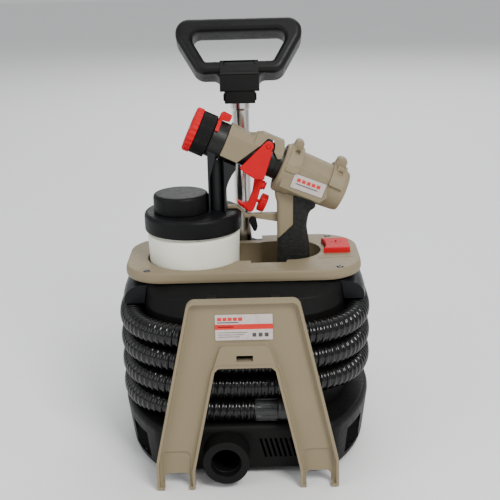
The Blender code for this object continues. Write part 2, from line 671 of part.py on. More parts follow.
def make_release_button(dark):
    shape = prism([(-0.0182, -0.0023), (0.0182, -0.0023), (0.0182, 0.0023), (-0.0182, 0.0023)],
                  0.0008, 0.0255, "Y", 0.0006)
    lift = Matrix.Rotation(-RING_LEAN, 4, "X") @ Vector((0, 0, 0.0111))
    add("release_button", shape, dark, at=Vector(RING_FOOT) + lift, turn=(-RING_LEAN, 0, 0))


# ---------------------------------------------------------------- gun: barrel side

def make_spray_head(gun, black, red, steel):
    ring = [(0.0200, -0.0268), (0.0245, -0.0262), (0.0265, -0.0240), (0.0265, -0.0176), (0.0235, -0.0176),
            (0.0235, -0.0235), (0.0200, -0.0238)]
    add("air_cap_ring", turned([(r, u + 0.02) for r, u in ring], "X", count=32, ring=True), red,
        at=(-0.02, 0, 0), parent=gun)
    cap = [(0.0032, -0.0262), (0.0090, -0.0262), (0.0120, -0.0246), (0.0197, -0.0246), (0.0197, -0.0232),
           (0.0230, -0.0232), (0.0230, -0.0190), (0.0110, -0.0190), (0.0075, -0.0222), (0.0032, -0.0235)]
    add("air_cap", turned([(r, u + 0.02) for r, u in cap], "X", count=24, ring=True), black,
        at=(-0.02, 0, 0), parent=gun)
    collar = [(0.0185, -0.0173), (0.0250, -0.0173), (0.0254, -0.0168), (0.0254, -0.0008), (0.0250, -0.0003),
              (0.0120, -0.0003), (0.0120, -0.0030), (0.0185, -0.0060)]
    add("nozzle_collar", turned([(r, u + 0.01) for r, u in collar], "X", count=30, ring=True), black,
        at=(-0.01, 0, 0), parent=gun)
    nozzle = [(0.0014, -0.0264), (0.0024, -0.0264), (0.0028, -0.0232), (0.0060, -0.0190), (0.0060, -0.0120),
              (0.0095, -0.0120), (0.0095, 0.0060), (0.0014, 0.0060)]
    add("fluid_nozzle", turned(nozzle, "X", count=16, ring=True), steel, parent=gun)
    needle = [(0.0002, -0.0268), (0.0011, -0.0225), (0.0011, 0.0640)]
    add("needle", turned(needle, "X", count=12), steel, parent=gun)


def make_barrel(gun, black):
    profile = [(0.0098, 0.0003), (0.0225, 0.0003), (0.0225, 0.0165), (0.0165, 0.0165), (0.0165, 0.0705),
               (0.0165, 0.0885), (0.0098, 0.0885)]
    barrel = add("gun_barrel", turned(profile, "X", count=28, ring=True), black, parent=gun)
    combine(barrel, turned([(0.0195, 0.0705), (0.0195, 0.0885)], "X", (0, 0.0035), 28), "UNION")
    px, pz = TRIGGER_PIVOT
    combine(barrel, box(px - 0.0042, px + 0.0042, -0.0195, 0.0195, 0.0100, pz + 0.0040), "UNION")
    combine(barrel, rod(0.0098, 0.0, 0.1000, "X", (0, 0), 28))
    combine(barrel, rod(0.0027, -0.03, 0.03, "Y", TRIGGER_PIVOT, 16))


def make_pattern_lever(gun, red):
    inner, outer = 0.0229, 0.0250
    start, sweep = math.radians(32), math.radians(116)
    band = circle(outer, 17, start=start, sweep=sweep) + circle(inner, 17, start=start + sweep, sweep=-sweep)
    lever = add("pattern_lever", prism(band, 0.0006, 0.0048, "X"), red, parent=gun)
    tab = [(0.0006, 0.0234), (0.0132, 0.0254), (0.0138, 0.0322), (0.0030, 0.0328), (0.0006, 0.0300)]
    combine(lever, prism(tab, -0.0066, 0.0066, "Y", 0.0006), "UNION")


def make_front_cover(gun, tan):
    outline = [(0.0170, 0.0246), (0.0415, 0.0214), (0.0544, 0.0300), (0.0806, 0.0302), (0.0834, 0.0240),
               (0.0842, 0.0125), (0.0798, 0.0105), (0.0730, 0.0165), (0.0716, 0.0235), (0.0680, 0.0274),
               (0.0610, 0.0268), (0.0385, -0.0122), (0.0170, -0.0118)]
    cover = add("front_cover", prism(outline, -0.0215, 0.0215, "Y", 0.0010), tan, parent=gun)
    for side in (-1, 1):
        for u0, u1, height in ((0.0100, 0.0480, 0.0262), (0.0480, 0.0900, 0.0312)):
            slope = [(side * 0.0055, height), (side * 0.0260, height), (side * 0.0260, 0.0120)]
            combine(cover, prism(slope, u0, u1, "X"))
    combine(cover, rod(0.0168, 0.0, 0.1, "X", (0, 0), 28))
    combine(cover, rod(0.0198, 0.0702, 0.1, "X", (0, 0.0035), 28))


def make_trigger(gun, red, steel):
    px, pz = TRIGGER_PIVOT
    ear = [(x - px, z - pz) for x, z in
           ((0.0435, -0.0157), (0.0500, -0.0187), (0.0655, -0.0211), (0.0752, -0.0173), (0.0709, 0.0181))]
    ear += circle(0.0060, 7, start=0.3, sweep=2.6)
    trigger = add("trigger", prism(ear, -0.0226, 0.0226, "Y", 0.0008), red, at=(px, 0, pz), parent=gun)
    slot = [(-0.03, -0.0378), (0.02, -0.0378), (0.02, 0.02), (-0.03, 0.02)]
    combine(trigger, prism(slot, -0.0201, 0.0201, "Y"))
    stem = [(x - px, z - pz) for x, z in
            ((0.0647, -0.0182), (0.0752, -0.0180), (0.0772, -0.0276), (0.0804, -0.0506), (0.0808, -0.0600),
             (0.0790, -0.0628), (0.0762, -0.0636), (0.0620, -0.0606), (0.0582, -0.0572), (0.0600, -0.0566),
             (0.0660, -0.0570), (0.0712, -0.0542), (0.0704, -0.0400), (0.0668, -0.0266))]
    combine(trigger, prism(stem, -0.0055, 0.0055, "Y", 0.0010), "UNION")
    combine(trigger, rod(0.0055, 0.0765 - px, 0.0822 - px, "X", (0, -0.0285 - pz), 20), "UNION")
    combine(trigger, rod(0.0027, -0.03, 0.03, "Y", (0, 0), 16))
    combine(trigger, rod(0.0024, 0.0730 - px, 0.12 - px, "X", (0, -0.0480 - pz), 12))
    add("trigger_pin", rod(0.0024, -0.0236, 0.0236, "Y", (0, 0), 16), steel, at=(px, 0, pz), parent=gun)
    wheel = [(0.0020, -0.0095), (0.0020, 0.0), (0.0100, 0.0), (0.0108, 0.0010), (0.0108, 0.0072),
             (0.0100, 0.0082)]
    add("flow_wheel", turned(wheel, "X", count=24), red, at=(0.0830, 0, -0.0480), parent=gun)


def arc_band(outer, inner, height, start, sweep, count):
    """A strap round the barrel's axis, as (y, z) points."""
    first, last, centre = math.radians(start), math.radians(start + sweep), (0, height)
    return (circle(outer, count, centre, first, math.radians(sweep))
            + circle(inner, count, centre, last, -math.radians(sweep)))


def make_rear_housing(gun, tan, paper, black):
    outside = [(0.0868, 0.0240, 0.0020), (0.0880, 0.0278, 0.0006), *REAR_BODY, (0.1655, 0.0240, 0.0016),
               (0.1675, 0.0230, 0.0012)]
    inside = [(0.1675, 0.0203, 0.0005), (0.1640, 0.0203, 0.0005), (0.1600, 0.0222, 0.0012),
              (0.1062, 0.0246, 0.0), (0.0910, 0.0256, 0.0003), (0.0895, 0.0215, 0.0005),
              (0.0868, 0.0215, 0.0005)]
    rear = add("rear_housing", lofted(outside + inside, 32, True), tan, parent=gun)
    combine(rear, prism(arc_band(0.0306, 0.0280, 0.0003, 8, 164, 17), 0.0915, 0.1068, "X"), "UNION")
    combine(rear, prism(arc_band(0.0288, 0.0248, 0.0012, 14, 152, 17), 0.1450, 0.1615, "X"), "UNION")
    panel = [(0.0930, -0.0165), (0.0920, 0.0085), (0.1060, 0.0160), (0.1410, 0.0130), (0.1500, -0.0070),
             (0.1440, -0.0165)]
    combine(rear, prism(panel, -0.0285, -0.0200, "Y", 0.0015), "UNION")
    combine(rear, rod(0.0200, 0.08, 0.095, "X", (0, 0.0035), 36))
    for u0, u1, top in ((0.0930, 0.1035, 0.0390), (0.1460, 0.1580, 0.0395)):
        lug = rounded([(u0 - 0.001, 0.0275, 0), (u1 + 0.001, 0.0275, 0), (u1 - 0.001, top, 0.002),
                       (u0 + 0.001, top, 0.002)], 3)
        combine(rear, prism(lug, -0.0075, 0.0075, "Y", 0.001), "UNION")
    along = Matrix.Translation((0.1240, 0, -0.0021)) @ Matrix.Rotation(math.radians(-3), 4, "Y")
    combine(rear, moved(box(-0.0200, 0.0200, -0.05, -0.0277, -0.0089, 0.0089), along))
    plate = box_outline(-0.0195, 0.0195, -0.0084, 0.0084, 0.001, 2)
    add("gun_plate", moved(prism(plate, -0.0284, -0.0277 - GAP, "Y"), along), paper, parent=gun)
    inlet = [(OUTLET_BORE, 0.1560), (0.0200, 0.1560), (0.0200, 0.1700), (0.0190, 0.1710),
             (OUTLET_BORE, 0.1710)]
    add("gun_inlet", turned(inlet, "X", (0, 0.0005), 24, True), black, parent=gun)


# ---------------------------------------------------------------- gun: upright parts

def gun_to_world():
    return Matrix.Translation(GUN_ORIGIN) @ Matrix.Rotation(GUN_TILT, 4, "Y")


def along_barrel(shape):
    """Moves a shape from the gun's frame into the world, to cut upright pieces with it."""
    return moved(shape, gun_to_world())


def make_stem(black):
    column = add("feed_stem", rod(0.0070, LID_TOP + GAP, 0.352, "Z", (-0.0290, -0.004), 20), black)
    left = [(-0.0388, LID_TOP + GAP), (-0.0368, LID_TOP + GAP), (-0.0362, 0.3190), (-0.0290, 0.3440),
            (-0.0290, 0.3550), (-0.0386, 0.3550), (-0.0386, 0.3250)]
    right = [(-0.0206, LID_TOP + GAP), (-0.0180, LID_TOP + GAP), (-0.0184, 0.2950), (-0.0160, 0.3120),
             (-0.0060, 0.3280), (-0.0060, 0.3440), (-0.0200, 0.3440), (-0.0200, 0.3250)]
    combine(column, prism(left, -0.0190, 0.0190, "Y", 0.0007), "UNION")
    combine(column, prism(right, -0.0190, 0.0190, "Y", 0.0007), "UNION")
    combine(column, box(-0.0380, -0.0190, 0.0, 0.0030, LID_TOP + GAP, 0.3400), "UNION")
    combine(column, along_barrel(rod(0.0228, -0.01, 0.0175, "X", (0, 0), 28)))
    combine(column, along_barrel(box(0.0167, 0.10, -0.03, 0.03, -0.0168, 0.04)))
    combine(column, along_barrel(box(-0.03, 0.0002, -0.03, 0.03, -0.04, 0.04)))


def make_lid(black):
    profile = [(0.0520, LID_BOTTOM), (0.0565, LID_BOTTOM), (LID_RADIUS, LID_BOTTOM + 0.002),
               (LID_RADIUS, 0.2735), (0.0562, 0.2765), (0.0540, LID_TOP), (0.0020, LID_TOP), (0.0020, 0.2750),
               (0.0520, 0.2750)]
    lid = add("cup_lid", turned(profile, centre=(CUP_X, 0), count=36, ring=True), black)
    neck = pipe(0.0285, 0.0235, 0.2760, 0.2900, "Z", CAP_XY, 28)
    combine(lid, rod(0.0235, 0.26, 0.30, "Z", CAP_XY, 28))
    combine(lid, neck, "UNION")
    combine(lid, rod(0.0048, 0.26, 0.30, "Z", (-0.0290, -0.004), 16))


def make_cup(black, white):
    cap = [(0.0300, 0.0), (0.0320, 0.0), (CAP_RADIUS, 0.0006), (CAP_RADIUS, 0.0185), (0.0310, 0.0210),
           (0.0290, 0.0216), (0.0001, 0.0216), (0.0001, 0.0180), (0.0300, 0.0180)]
    add("filler_cap", turned(cap, count=28, ring=True), black, at=(*CAP_XY, LID_TOP + GAP))
    jar = [(0.0440, 0.1402), (0.0490, 0.1412), (0.0512, 0.1450), (0.0535, 0.2200), (0.0548, 0.2490),
           (0.0530, 0.2525), (0.0514, 0.2530), (0.0514, 0.2740), (0.0494, 0.2740), (0.0494, 0.2520),
           (0.0526, 0.2480), (0.0514, 0.2200), (0.0492, 0.1460), (0.0440, 0.1424)]
    add("paint_jar", turned([(r, z - 0.2) for r, z in jar], count=36), white, at=(CUP_X, 0, 0.2))
    add("suction_tube", pipe(0.0045, 0.0030, 0.1480, 0.2774, "Z", (-0.0290, -0.004), 12), white)


def handle_cut(piece):
    grown = [(u, radius + 2 * GAP, height) for u, radius, height in REAR_BODY]
    combine(piece, along_barrel(lofted([(0.05, *grown[0][1:])] + grown + [(0.22, *grown[-1][1:])])))
    combine(piece, along_barrel(box(0.03, 0.1, -0.05, 0.05, -0.0175, 0.05)))


def make_handle(tan, black, dark):
    frame_side = [(0.0388, 0.3050), (0.0388, 0.2930), (0.0412, 0.2851), (0.0404, 0.2423), (0.0594, 0.2600),
                  (0.0602, 0.3050)]
    handle = add("handle_frame", prism(frame_side, -0.0150, 0.0150, "Y", 0.0015), tan)
    strut = [(0.0420, 0.2708), (0.0420, 0.2600), (0.0404, 0.2610), (0.0182, 0.2650), (0.0012, 0.2672),
             (0.0, 0.2742), (-0.0030, 0.2781), (-0.0176, 0.2781), (-0.0176, 0.2818), (-0.0080, 0.2806),
             (0.0010, 0.2770), (0.0050, 0.2708)]
    combine(handle, prism(strut, -0.0045, 0.0045, "Y", 0.0008), "UNION")
    handle_cut(handle)
    grip_side = [(0.0404, 0.2417), (0.0404, 0.1900), (0.0425, 0.1868), (0.0765, 0.1868), (0.0785, 0.1900),
                 (0.0788, 0.2160), (0.0782, 0.2425), (0.0758, 0.2500), (0.0752, 0.2560), (0.0756, 0.2660),
                 (0.0785, 0.2735), (0.0860, 0.2790), (0.0860, 0.3050), (0.0606, 0.3050), (0.0598, 0.2596)]
    grip = add("grip_sleeve", prism(grip_side, -0.0165, 0.0165, "Y", 0.0035), black)
    handle_cut(grip)
    hub = rod(0.0046, -0.0105, -0.0050, "Y", (0, 0), 20)
    latch = add("strut_latch", hub, dark, at=(0.0120, 0, 0.2640))
    tail = [(-0.0044, -0.001), (0.0044, 0.001), (0.0056, -0.0060), (0.0040, -0.0125), (0.0010, -0.0128),
            (-0.0010, -0.0080)]
    combine(latch, prism(tail, -0.0100, -0.0055, "Y", 0.0006), "UNION")


# ---------------------------------------------------------------- assembly

def clear_scene():
    for piece in list(bpy.data.objects):
        bpy.data.objects.remove(piece)


def main():
    clear_scene()
    black = material("black_plastic", BLACK, 0.45)
    dark = material("dark_plastic", DARK, 0.35)
    tan = material("tan_plastic", TAN, 0.5)
    red = material("red_plastic", RED, 0.4)
    rubber = material("rubber", (0.02, 0.02, 0.02), 0.8)
    white = material("jar_plastic", (0.78, 0.79, 0.74), 0.35)
    paper = material("label", (0.62, 0.55, 0.52), 0.4)
    steel = material("steel", (0.6, 0.6, 0.6), 0.3, 1.0)
    chrome = material("chrome", (0.85, 0.85, 0.86), 0.08, 1.0)
    copper = material("stator", (0.25, 0.12, 0.06), 0.5, 0.6)

    make_base(black)
    make_base_plate(black)
    make_intake_grille("intake_grille_left", -1, black)
    make_intake_grille("intake_grille_right", 1, black)
    make_feet(rubber)
    make_wheels(rubber, steel)
    make_outlet(black)
    make_cable_gland(rubber)
    make_turbine(black, dark, steel, copper)
    make_drum(black)
    make_shoulder(black)
    make_hose(black, dark)
    make_tray(tan)
    make_screws(steel)
    make_power_button(red, dark)
    make_bracket(tan, paper)
    make_tubes(black, chrome)
    make_grip_ring(black)
    make_release_button(dark)

    gun = frame("gun_frame", GUN_ORIGIN, (0, GUN_TILT, 0))
    make_spray_head(gun, black, red, steel)
    make_barrel(gun, black)
    make_pattern_lever(gun, red)
    make_front_cover(gun, tan)
    make_trigger(gun, red, steel)
    make_rear_housing(gun, tan, paper, black)
    make_stem(black)
    make_lid(black)
    make_cup(black, white)
    make_handle(tan, black, dark)


main()
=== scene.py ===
"""Looks of the turbine paint sprayer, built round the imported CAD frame.

Metres, +Z up, front towards -Y. Each function makes one visible piece and says which CAD node it stands for.
The gun's own frame has +X back along the barrel, +Z up across it, and its origin on the barrel axis.
"""

import math

import bmesh
import bpy
from mathutils import Matrix, Vector


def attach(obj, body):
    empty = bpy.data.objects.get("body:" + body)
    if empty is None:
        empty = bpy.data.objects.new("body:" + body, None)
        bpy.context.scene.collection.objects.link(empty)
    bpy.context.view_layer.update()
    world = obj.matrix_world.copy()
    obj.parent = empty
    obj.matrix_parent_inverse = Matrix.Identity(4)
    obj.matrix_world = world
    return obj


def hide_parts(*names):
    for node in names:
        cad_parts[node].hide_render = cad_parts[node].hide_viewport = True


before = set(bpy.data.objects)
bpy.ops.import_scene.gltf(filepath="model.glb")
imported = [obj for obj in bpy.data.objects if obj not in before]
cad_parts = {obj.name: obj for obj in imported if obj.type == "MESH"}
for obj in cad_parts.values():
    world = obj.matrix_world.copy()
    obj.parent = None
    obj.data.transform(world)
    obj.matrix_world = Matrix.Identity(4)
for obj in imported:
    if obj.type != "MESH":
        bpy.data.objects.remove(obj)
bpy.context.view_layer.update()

# ---------------------------------------------------------------- driving sizes, as in the CAD

BASE_HALF_WIDTH = 0.1485
BASE_ARC_DEPTH = 0.187
BASE_FLAT = 0.141
BASE_BOTTOM, BASE_TOP = 0.008, 0.0635
BASE_DRAFT = 0.006
WALL = 0.0025

DRUM = (0.1202, 0.1122)
OVAL_POWER = 2.9
DRUM_TOP, TUB_TOP = 0.180, 0.2068
HOSE_RADIUS = 0.014
HOSE_OVAL = (0.135, 0.127)
HOSE_LOW, HOSE_PITCH = 0.0785, 0.029
HOSE_START, HOSE_END = -0.010, 3.36
CLIMB = (0.42, 0.74)
CUFF_LENGTH = 0.062
RIB_PITCH = 0.0074

TRAY_HALF_WIDTH, TRAY_HALF_DEPTH, TRAY_Y = 0.139, 0.0725, 0.0055
TRAY_CORNER = 0.048
TRAY_TOP, TRAY_SKIRT, DECK = 0.220, 0.2075, 0.0028
CUP_WELL = (-0.0586, 0.0, 0.0562)
CUP_WELL_FLOOR = 0.137
GUN_WELL_END = (0.055, 0.013, 0.0385)
GUN_WELL_FLOOR = 0.184
WELL_WALL = 0.0018
SCREWS = ((-0.111, -0.055), (0.111, -0.055), (-0.105, 0.066), (0.105, 0.066))

BRACKET_TOP = 0.2168
BRACKET_Y_TOP, BRACKET_Y_FOOT = -0.1523, -0.167
BRACKET_DEPTH, BRACKET_LIP, BRACKET_POCKET = 0.010, 0.003, 0.007
HINGE_Y, HINGE_Z = -0.1335, 0.195

WHEEL_RADIUS, WHEEL_Y = 0.036, 0.130
WHEEL_INNER, WHEEL_OUTER = 0.118, 0.140
TUBE_Y = 0.080
RING_LEAN = math.radians(33)
RING_FOOT = (0.0, 0.062, 0.4298)
RING_DEPTH = 0.034
OUTLET_X, OUTLET_Z = -0.0235, 0.032
OUTLET_RADIUS, OUTLET_BORE = 0.0257, 0.0156

GUN_ORIGIN = (-0.0346, 0.0, 0.3638)
GUN_TILT = math.radians(25)
CUP_X = -0.0586
LID_TOP, LID_BOTTOM, LID_RADIUS = 0.2775, 0.2555, 0.0575
CAP_XY, CAP_RADIUS = (-0.0718, -0.004), 0.0325
REAR_BODY = ((0.0905, 0.0290, 0.0003), (0.1050, 0.0290, 0.0003), (0.1062, 0.0272, 0.0),
             (0.1445, 0.0254, 0.0012), (0.1600, 0.0247, 0.0017))
TRIGGER_PIVOT = (0.0644, 0.0202)
STEM_XY = (-0.0290, -0.004)

GUN = Matrix.Translation(GUN_ORIGIN) @ Matrix.Rotation(GUN_TILT, 4, "Y")
RING = Matrix.Translation(RING_FOOT) @ Matrix.Rotation(-RING_LEAN, 4, "X")
SLOPE = (BRACKET_Y_TOP - BRACKET_Y_FOOT) / BRACKET_TOP
BRACKET = Matrix(((1, 0, 0, 0), (0, 1, SLOPE, BRACKET_Y_FOOT), (0, 0, 1, 0), (0, 0, 0, 1)))


# ---------------------------------------------------------------- camera

CAMERA_PLACE = (0.0152, -1.1489, 0.5939)
CAMERA_DOWN, CAMERA_YAW, CAMERA_ROLL = (math.radians(a) for a in (17.806, -0.370, 1.506))
CAMERA_LENS = 72.38


def make_camera():
    data = bpy.data.cameras.new("camera")
    data.lens, data.sensor_width = CAMERA_LENS, 36.0
    camera = bpy.data.objects.new("camera", data)
    bpy.context.scene.collection.objects.link(camera)
    ahead = Vector((math.sin(CAMERA_YAW) * math.cos(CAMERA_DOWN),
                    math.cos(CAMERA_YAW) * math.cos(CAMERA_DOWN), -math.sin(CAMERA_DOWN)))
    right = Vector((math.cos(CAMERA_YAW), -math.sin(CAMERA_YAW), 0))
    up = right.cross(ahead)
    across = right * math.cos(CAMERA_ROLL) - up * math.sin(CAMERA_ROLL)
    above = right * math.sin(CAMERA_ROLL) + up * math.cos(CAMERA_ROLL)
    turn = Matrix((across, above, -ahead)).transposed().to_4x4()
    camera.matrix_world = Matrix.Translation(CAMERA_PLACE) @ turn
    bpy.context.scene.camera = camera


# ---------------------------------------------------------------- outlines and shapes

def oval(half_x, half_y, power=OVAL_POWER, count=120, centre=(0, 0)):
    """Points of a superellipse."""
    points = []
    for k in range(count):
        c, s = math.cos(2 * math.pi * k / count), math.sin(2 * math.pi * k / count)
        points.append((centre[0] + half_x * math.copysign(abs(c) ** (2 / power), c),
                       centre[1] + half_y * math.copysign(abs(s) ** (2 / power), s)))
    return points


def circle(radius, count=64, centre=(0, 0), start=0.0, sweep=2 * math.pi):
    steps = count if sweep == 2 * math.pi else count - 1
    return [(centre[0] + radius * math.cos(start + sweep * k / steps),
             centre[1] + radius * math.sin(start + sweep * k / steps)) for k in range(count)]


def rounded(corners, per_corner=8):
    """A polygon whose corners (x, y, radius) are rounded."""
    points = []
    for k, (x, y, radius) in enumerate(corners):
        here = Vector((x, y))
        before, after = Vector(corners[k - 1][:2]), Vector(corners[(k + 1) % len(corners)][:2])
        if radius <= 0:
            points.append((x, y))
            continue
        a, b = (before - here).normalized(), (after - here).normalized()
        half = a.angle(b) / 2
        reach = radius / math.tan(half)
        middle = here + (a + b).normalized() * (radius / math.sin(half))
        first, last = here + a * reach - middle, here + b * reach - middle
        turn = first.angle_signed(last)
        for i in range(per_corner):
            points.append(tuple(middle + Matrix.Rotation(-turn * i / (per_corner - 1), 2) @ first))
    return points


def box_outline(x0, x1, y0, y1, radius=0.0, per_corner=8):
    return rounded([(x0, y0, radius), (x1, y0, radius), (x1, y1, radius), (x0, y1, radius)], per_corner)


def inset(outline, amount):
    """Moves every side of an outline inwards by the same amount."""
    area = sum(a[0] * b[1] - b[0] * a[1] for a, b in zip(outline, outline[1:] + outline[:1]))
    sign = 1 if area > 0 else -1
    placed = []
    for k, point in enumerate(outline):
        here = Vector(point)
        ahead = (Vector(outline[(k + 1) % len(outline)]) - here).normalized()
        behind = (here - Vector(outline[k - 1])).normalized()
        normal = (Vector((-ahead.y, ahead.x)) + Vector((-behind.y, behind.x))) * sign
        normal.normalize()
        slant = max(0.4, abs(normal.dot(Vector((-ahead.y, ahead.x)))))
        placed.append(tuple(here + normal * amount / slant))
    return placed


def shrunk(corners, amount):
    """The corner list (x, y, radius) of a polygon whose sides all move inwards."""
    plain = [(x, y) for x, y, _ in corners]
    area = sum(a[0] * b[1] - b[0] * a[1] for a, b in zip(plain, plain[1:] + plain[:1]))
    sign = 1 if area > 0 else -1
    result = []
    for k, (x, y, radius) in enumerate(corners):
        here = Vector((x, y))
        ahead = (Vector(plain[(k + 1) % len(plain)]) - here).normalized()
        behind = (here - Vector(plain[k - 1])).normalized()
        normal = Vector((-ahead.y, ahead.x)) + Vector((-behind.y, behind.x))
        normal *= sign / normal.length
        slant = abs(normal.dot(Vector((-ahead.y, ahead.x))))
        outer = (behind.x * ahead.y - behind.y * ahead.x) * sign > 0
        if radius:
            radius = max(radius - amount, 0.0002) if outer else radius + amount
        result.append((*(here + normal * amount / slant), radius))
    return result


def skin(loops, ring=False):
    """Faces between loops of equal length; the ends are capped, or joined to each other in a ring."""
    count, points, faces = len(loops[0]), [p for loop in loops for p in loop], []
    for i in range(len(loops) if ring else len(loops) - 1):
        j = (i + 1) % len(loops)
        for k in range(count):
            m = (k + 1) % count
            faces.append((i * count + k, i * count + m, j * count + m, j * count + k))
    if not ring:
        faces.append(tuple(range(count)))
        faces.append(tuple((len(loops) - 1) * count + k for k in range(count)))
    return points, faces


def upright(levels, ring=False):
    return skin([[(x, y, z) for x, y in outline] for outline, z in levels], ring)


def prism(outline, low, high, along="Z", chamfer=0.0, steps=1, per_corner=6):
    """An outline, or a corner list, extruded along an axis, with its two end edges rounded in a few steps."""
    place = {"Z": lambda p, h: (p[0], p[1], h), "Y": lambda p, h: (p[0], h, p[1]),
             "X": lambda p, h: (h, p[0], p[1])}[along]
    corners = len(outline[0]) == 3

    def shape(amount):
        return rounded(shrunk(outline, amount), per_corner) if corners else inset(outline, amount)

    levels = [(shape(0), low), (shape(0), high)]
    if chamfer:
        angles = [math.pi / 2 * i / steps for i in range(steps + 1)]
        start = [(shape(chamfer * (1 - math.sin(t))), low + chamfer * (1 - math.cos(t))) for t in angles]
        levels = start + [(points, low + high - h) for points, h in reversed(start)]
    return skin([[place(p, h) for p in points] for points, h in levels])


def box(x0, x1, y0, y1, z0, z1):
    return prism([(x0, y0), (x1, y0), (x1, y1), (x0, y1)], z0, z1)


def turned(profile, axis="Z", centre=(0, 0), count=64, ring=False, wave=None):
    """A profile of (radius, height) turned round an axis; wave(angle, radius, height) reshapes the radius."""
    loops = []
    for radius, height in profile:
        loop = []
        for k in range(count):
            angle = 2 * math.pi * k / count
            r = wave(angle, radius, height) if wave else radius
            a, b = centre[0] + r * math.cos(angle), centre[1] + r * math.sin(angle)
            loop.append({"Z": (a, b, height), "Y": (a, height, b), "X": (height, a, b)}[axis])
        loops.append(loop)
    return skin(loops, ring)


def lofted(levels, count=128, ring=False):
    """Circles across the X axis, each given by its position, radius and the height of its centre."""
    loops = []
    for x, radius, height in levels:
        loops.append([(x, y, z) for y, z in circle(radius, count, (0, height))])
    return skin(loops, ring)


def arc_band(outer, inner, height, start, sweep, count=65):
    """A strap round the barrel's axis, as (y, z) points."""
    first, turn, centre = math.radians(start), math.radians(sweep), (0, height)
    return circle(outer, count, centre, first, turn) + circle(inner, count, centre, first + turn, -turn)


def rod(radius, low, high, axis="Z", centre=(0, 0), count=48):
    return turned([(radius, low), (radius, high)], axis, centre, count)


def pipe(outer, inner, low, high, axis="Z", centre=(0, 0), count=48):
    return turned([(inner, low), (outer, low), (outer, high), (inner, high)], axis, centre, count, True)


def moved(shape, matrix):
    points, faces = shape
    return [tuple(matrix @ Vector(p)) for p in points], faces


def softened(profile, radius=0.0006, steps=3):
    """Rounds the corners of a (radius, height) profile that is used as a closed ring."""
    result = []
    for k, point in enumerate(profile):
        here = Vector(point)
        before, after = Vector(profile[k - 1]) - here, Vector(profile[(k + 1) % len(profile)]) - here
        bend = math.pi - before.angle(after, 0.0) if before.length and after.length else 0.0
        reach = min(radius, before.length * 0.45, after.length * 0.45)
        if bend < 0.2 or reach < 1e-5:
            result.append(point)
            continue
        a, b = here + before.normalized() * reach, here + after.normalized() * reach
        for i in range(steps + 1):
            t = i / steps
            result.append(tuple(a * (1 - t) ** 2 + here * 2 * t * (1 - t) + b * t * t))
    return result


# ---------------------------------------------------------------- objects

def add(name, shape, paint):
    points, faces = shape
    mesh = bpy.data.meshes.new(name)
    mesh.from_pydata([tuple(p) for p in points], [], faces)
    form = bmesh.new()
    form.from_mesh(mesh)
    bmesh.ops.recalc_face_normals(form, faces=form.faces)
    form.to_mesh(mesh)
    form.free()
    piece = bpy.data.objects.new(name, mesh)
    bpy.context.scene.collection.objects.link(piece)
    if paint:
        mesh.materials.append(paint)
    return piece


def combine(piece, shape, how="DIFFERENCE"):
    """Cuts, joins or intersects a piece with a shape."""
    tool = add("tool", shape, None)
    step = piece.modifiers.new(how.lower(), "BOOLEAN")
    step.operation, step.solver, step.object = how, "EXACT", tool
    apply(piece)
    bpy.data.objects.remove(tool)
    return piece


def apply(piece):
    bpy.context.view_layer.update()
    paint = list(piece.data.materials)
    made = bpy.data.meshes.new_from_object(piece.evaluated_get(bpy.context.evaluated_depsgraph_get()))
    piece.modifiers.clear()
    piece.data = made
    made.materials.clear()
    for each in paint:
        made.materials.append(each)
    return piece


def finish_edges(piece, width=0.0005, segments=2, limit=38):
    """Rounds the sharp edges and smooths the shading."""
    if width:
        step = piece.modifiers.new("edges", "BEVEL")
        step.width, step.segments, step.limit_method = width, segments, "ANGLE"
        step.angle_limit, step.harden_normals, step.miter_outer = math.radians(limit), False, "MITER_ARC"
        step.use_clamp_overlap = True
        apply(piece)
    piece.data.shade_smooth()
    piece.data.set_sharp_from_angle(angle=math.radians(limit))
    step = piece.modifiers.new("shading", "WEIGHTED_NORMAL")
    step.keep_sharp, step.weight = True, 60
    return piece


def place(piece, body, slot, *nodes):
    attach(piece, body)
    if nodes:
        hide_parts(*nodes)
    return piece


# ---------------------------------------------------------------- materials

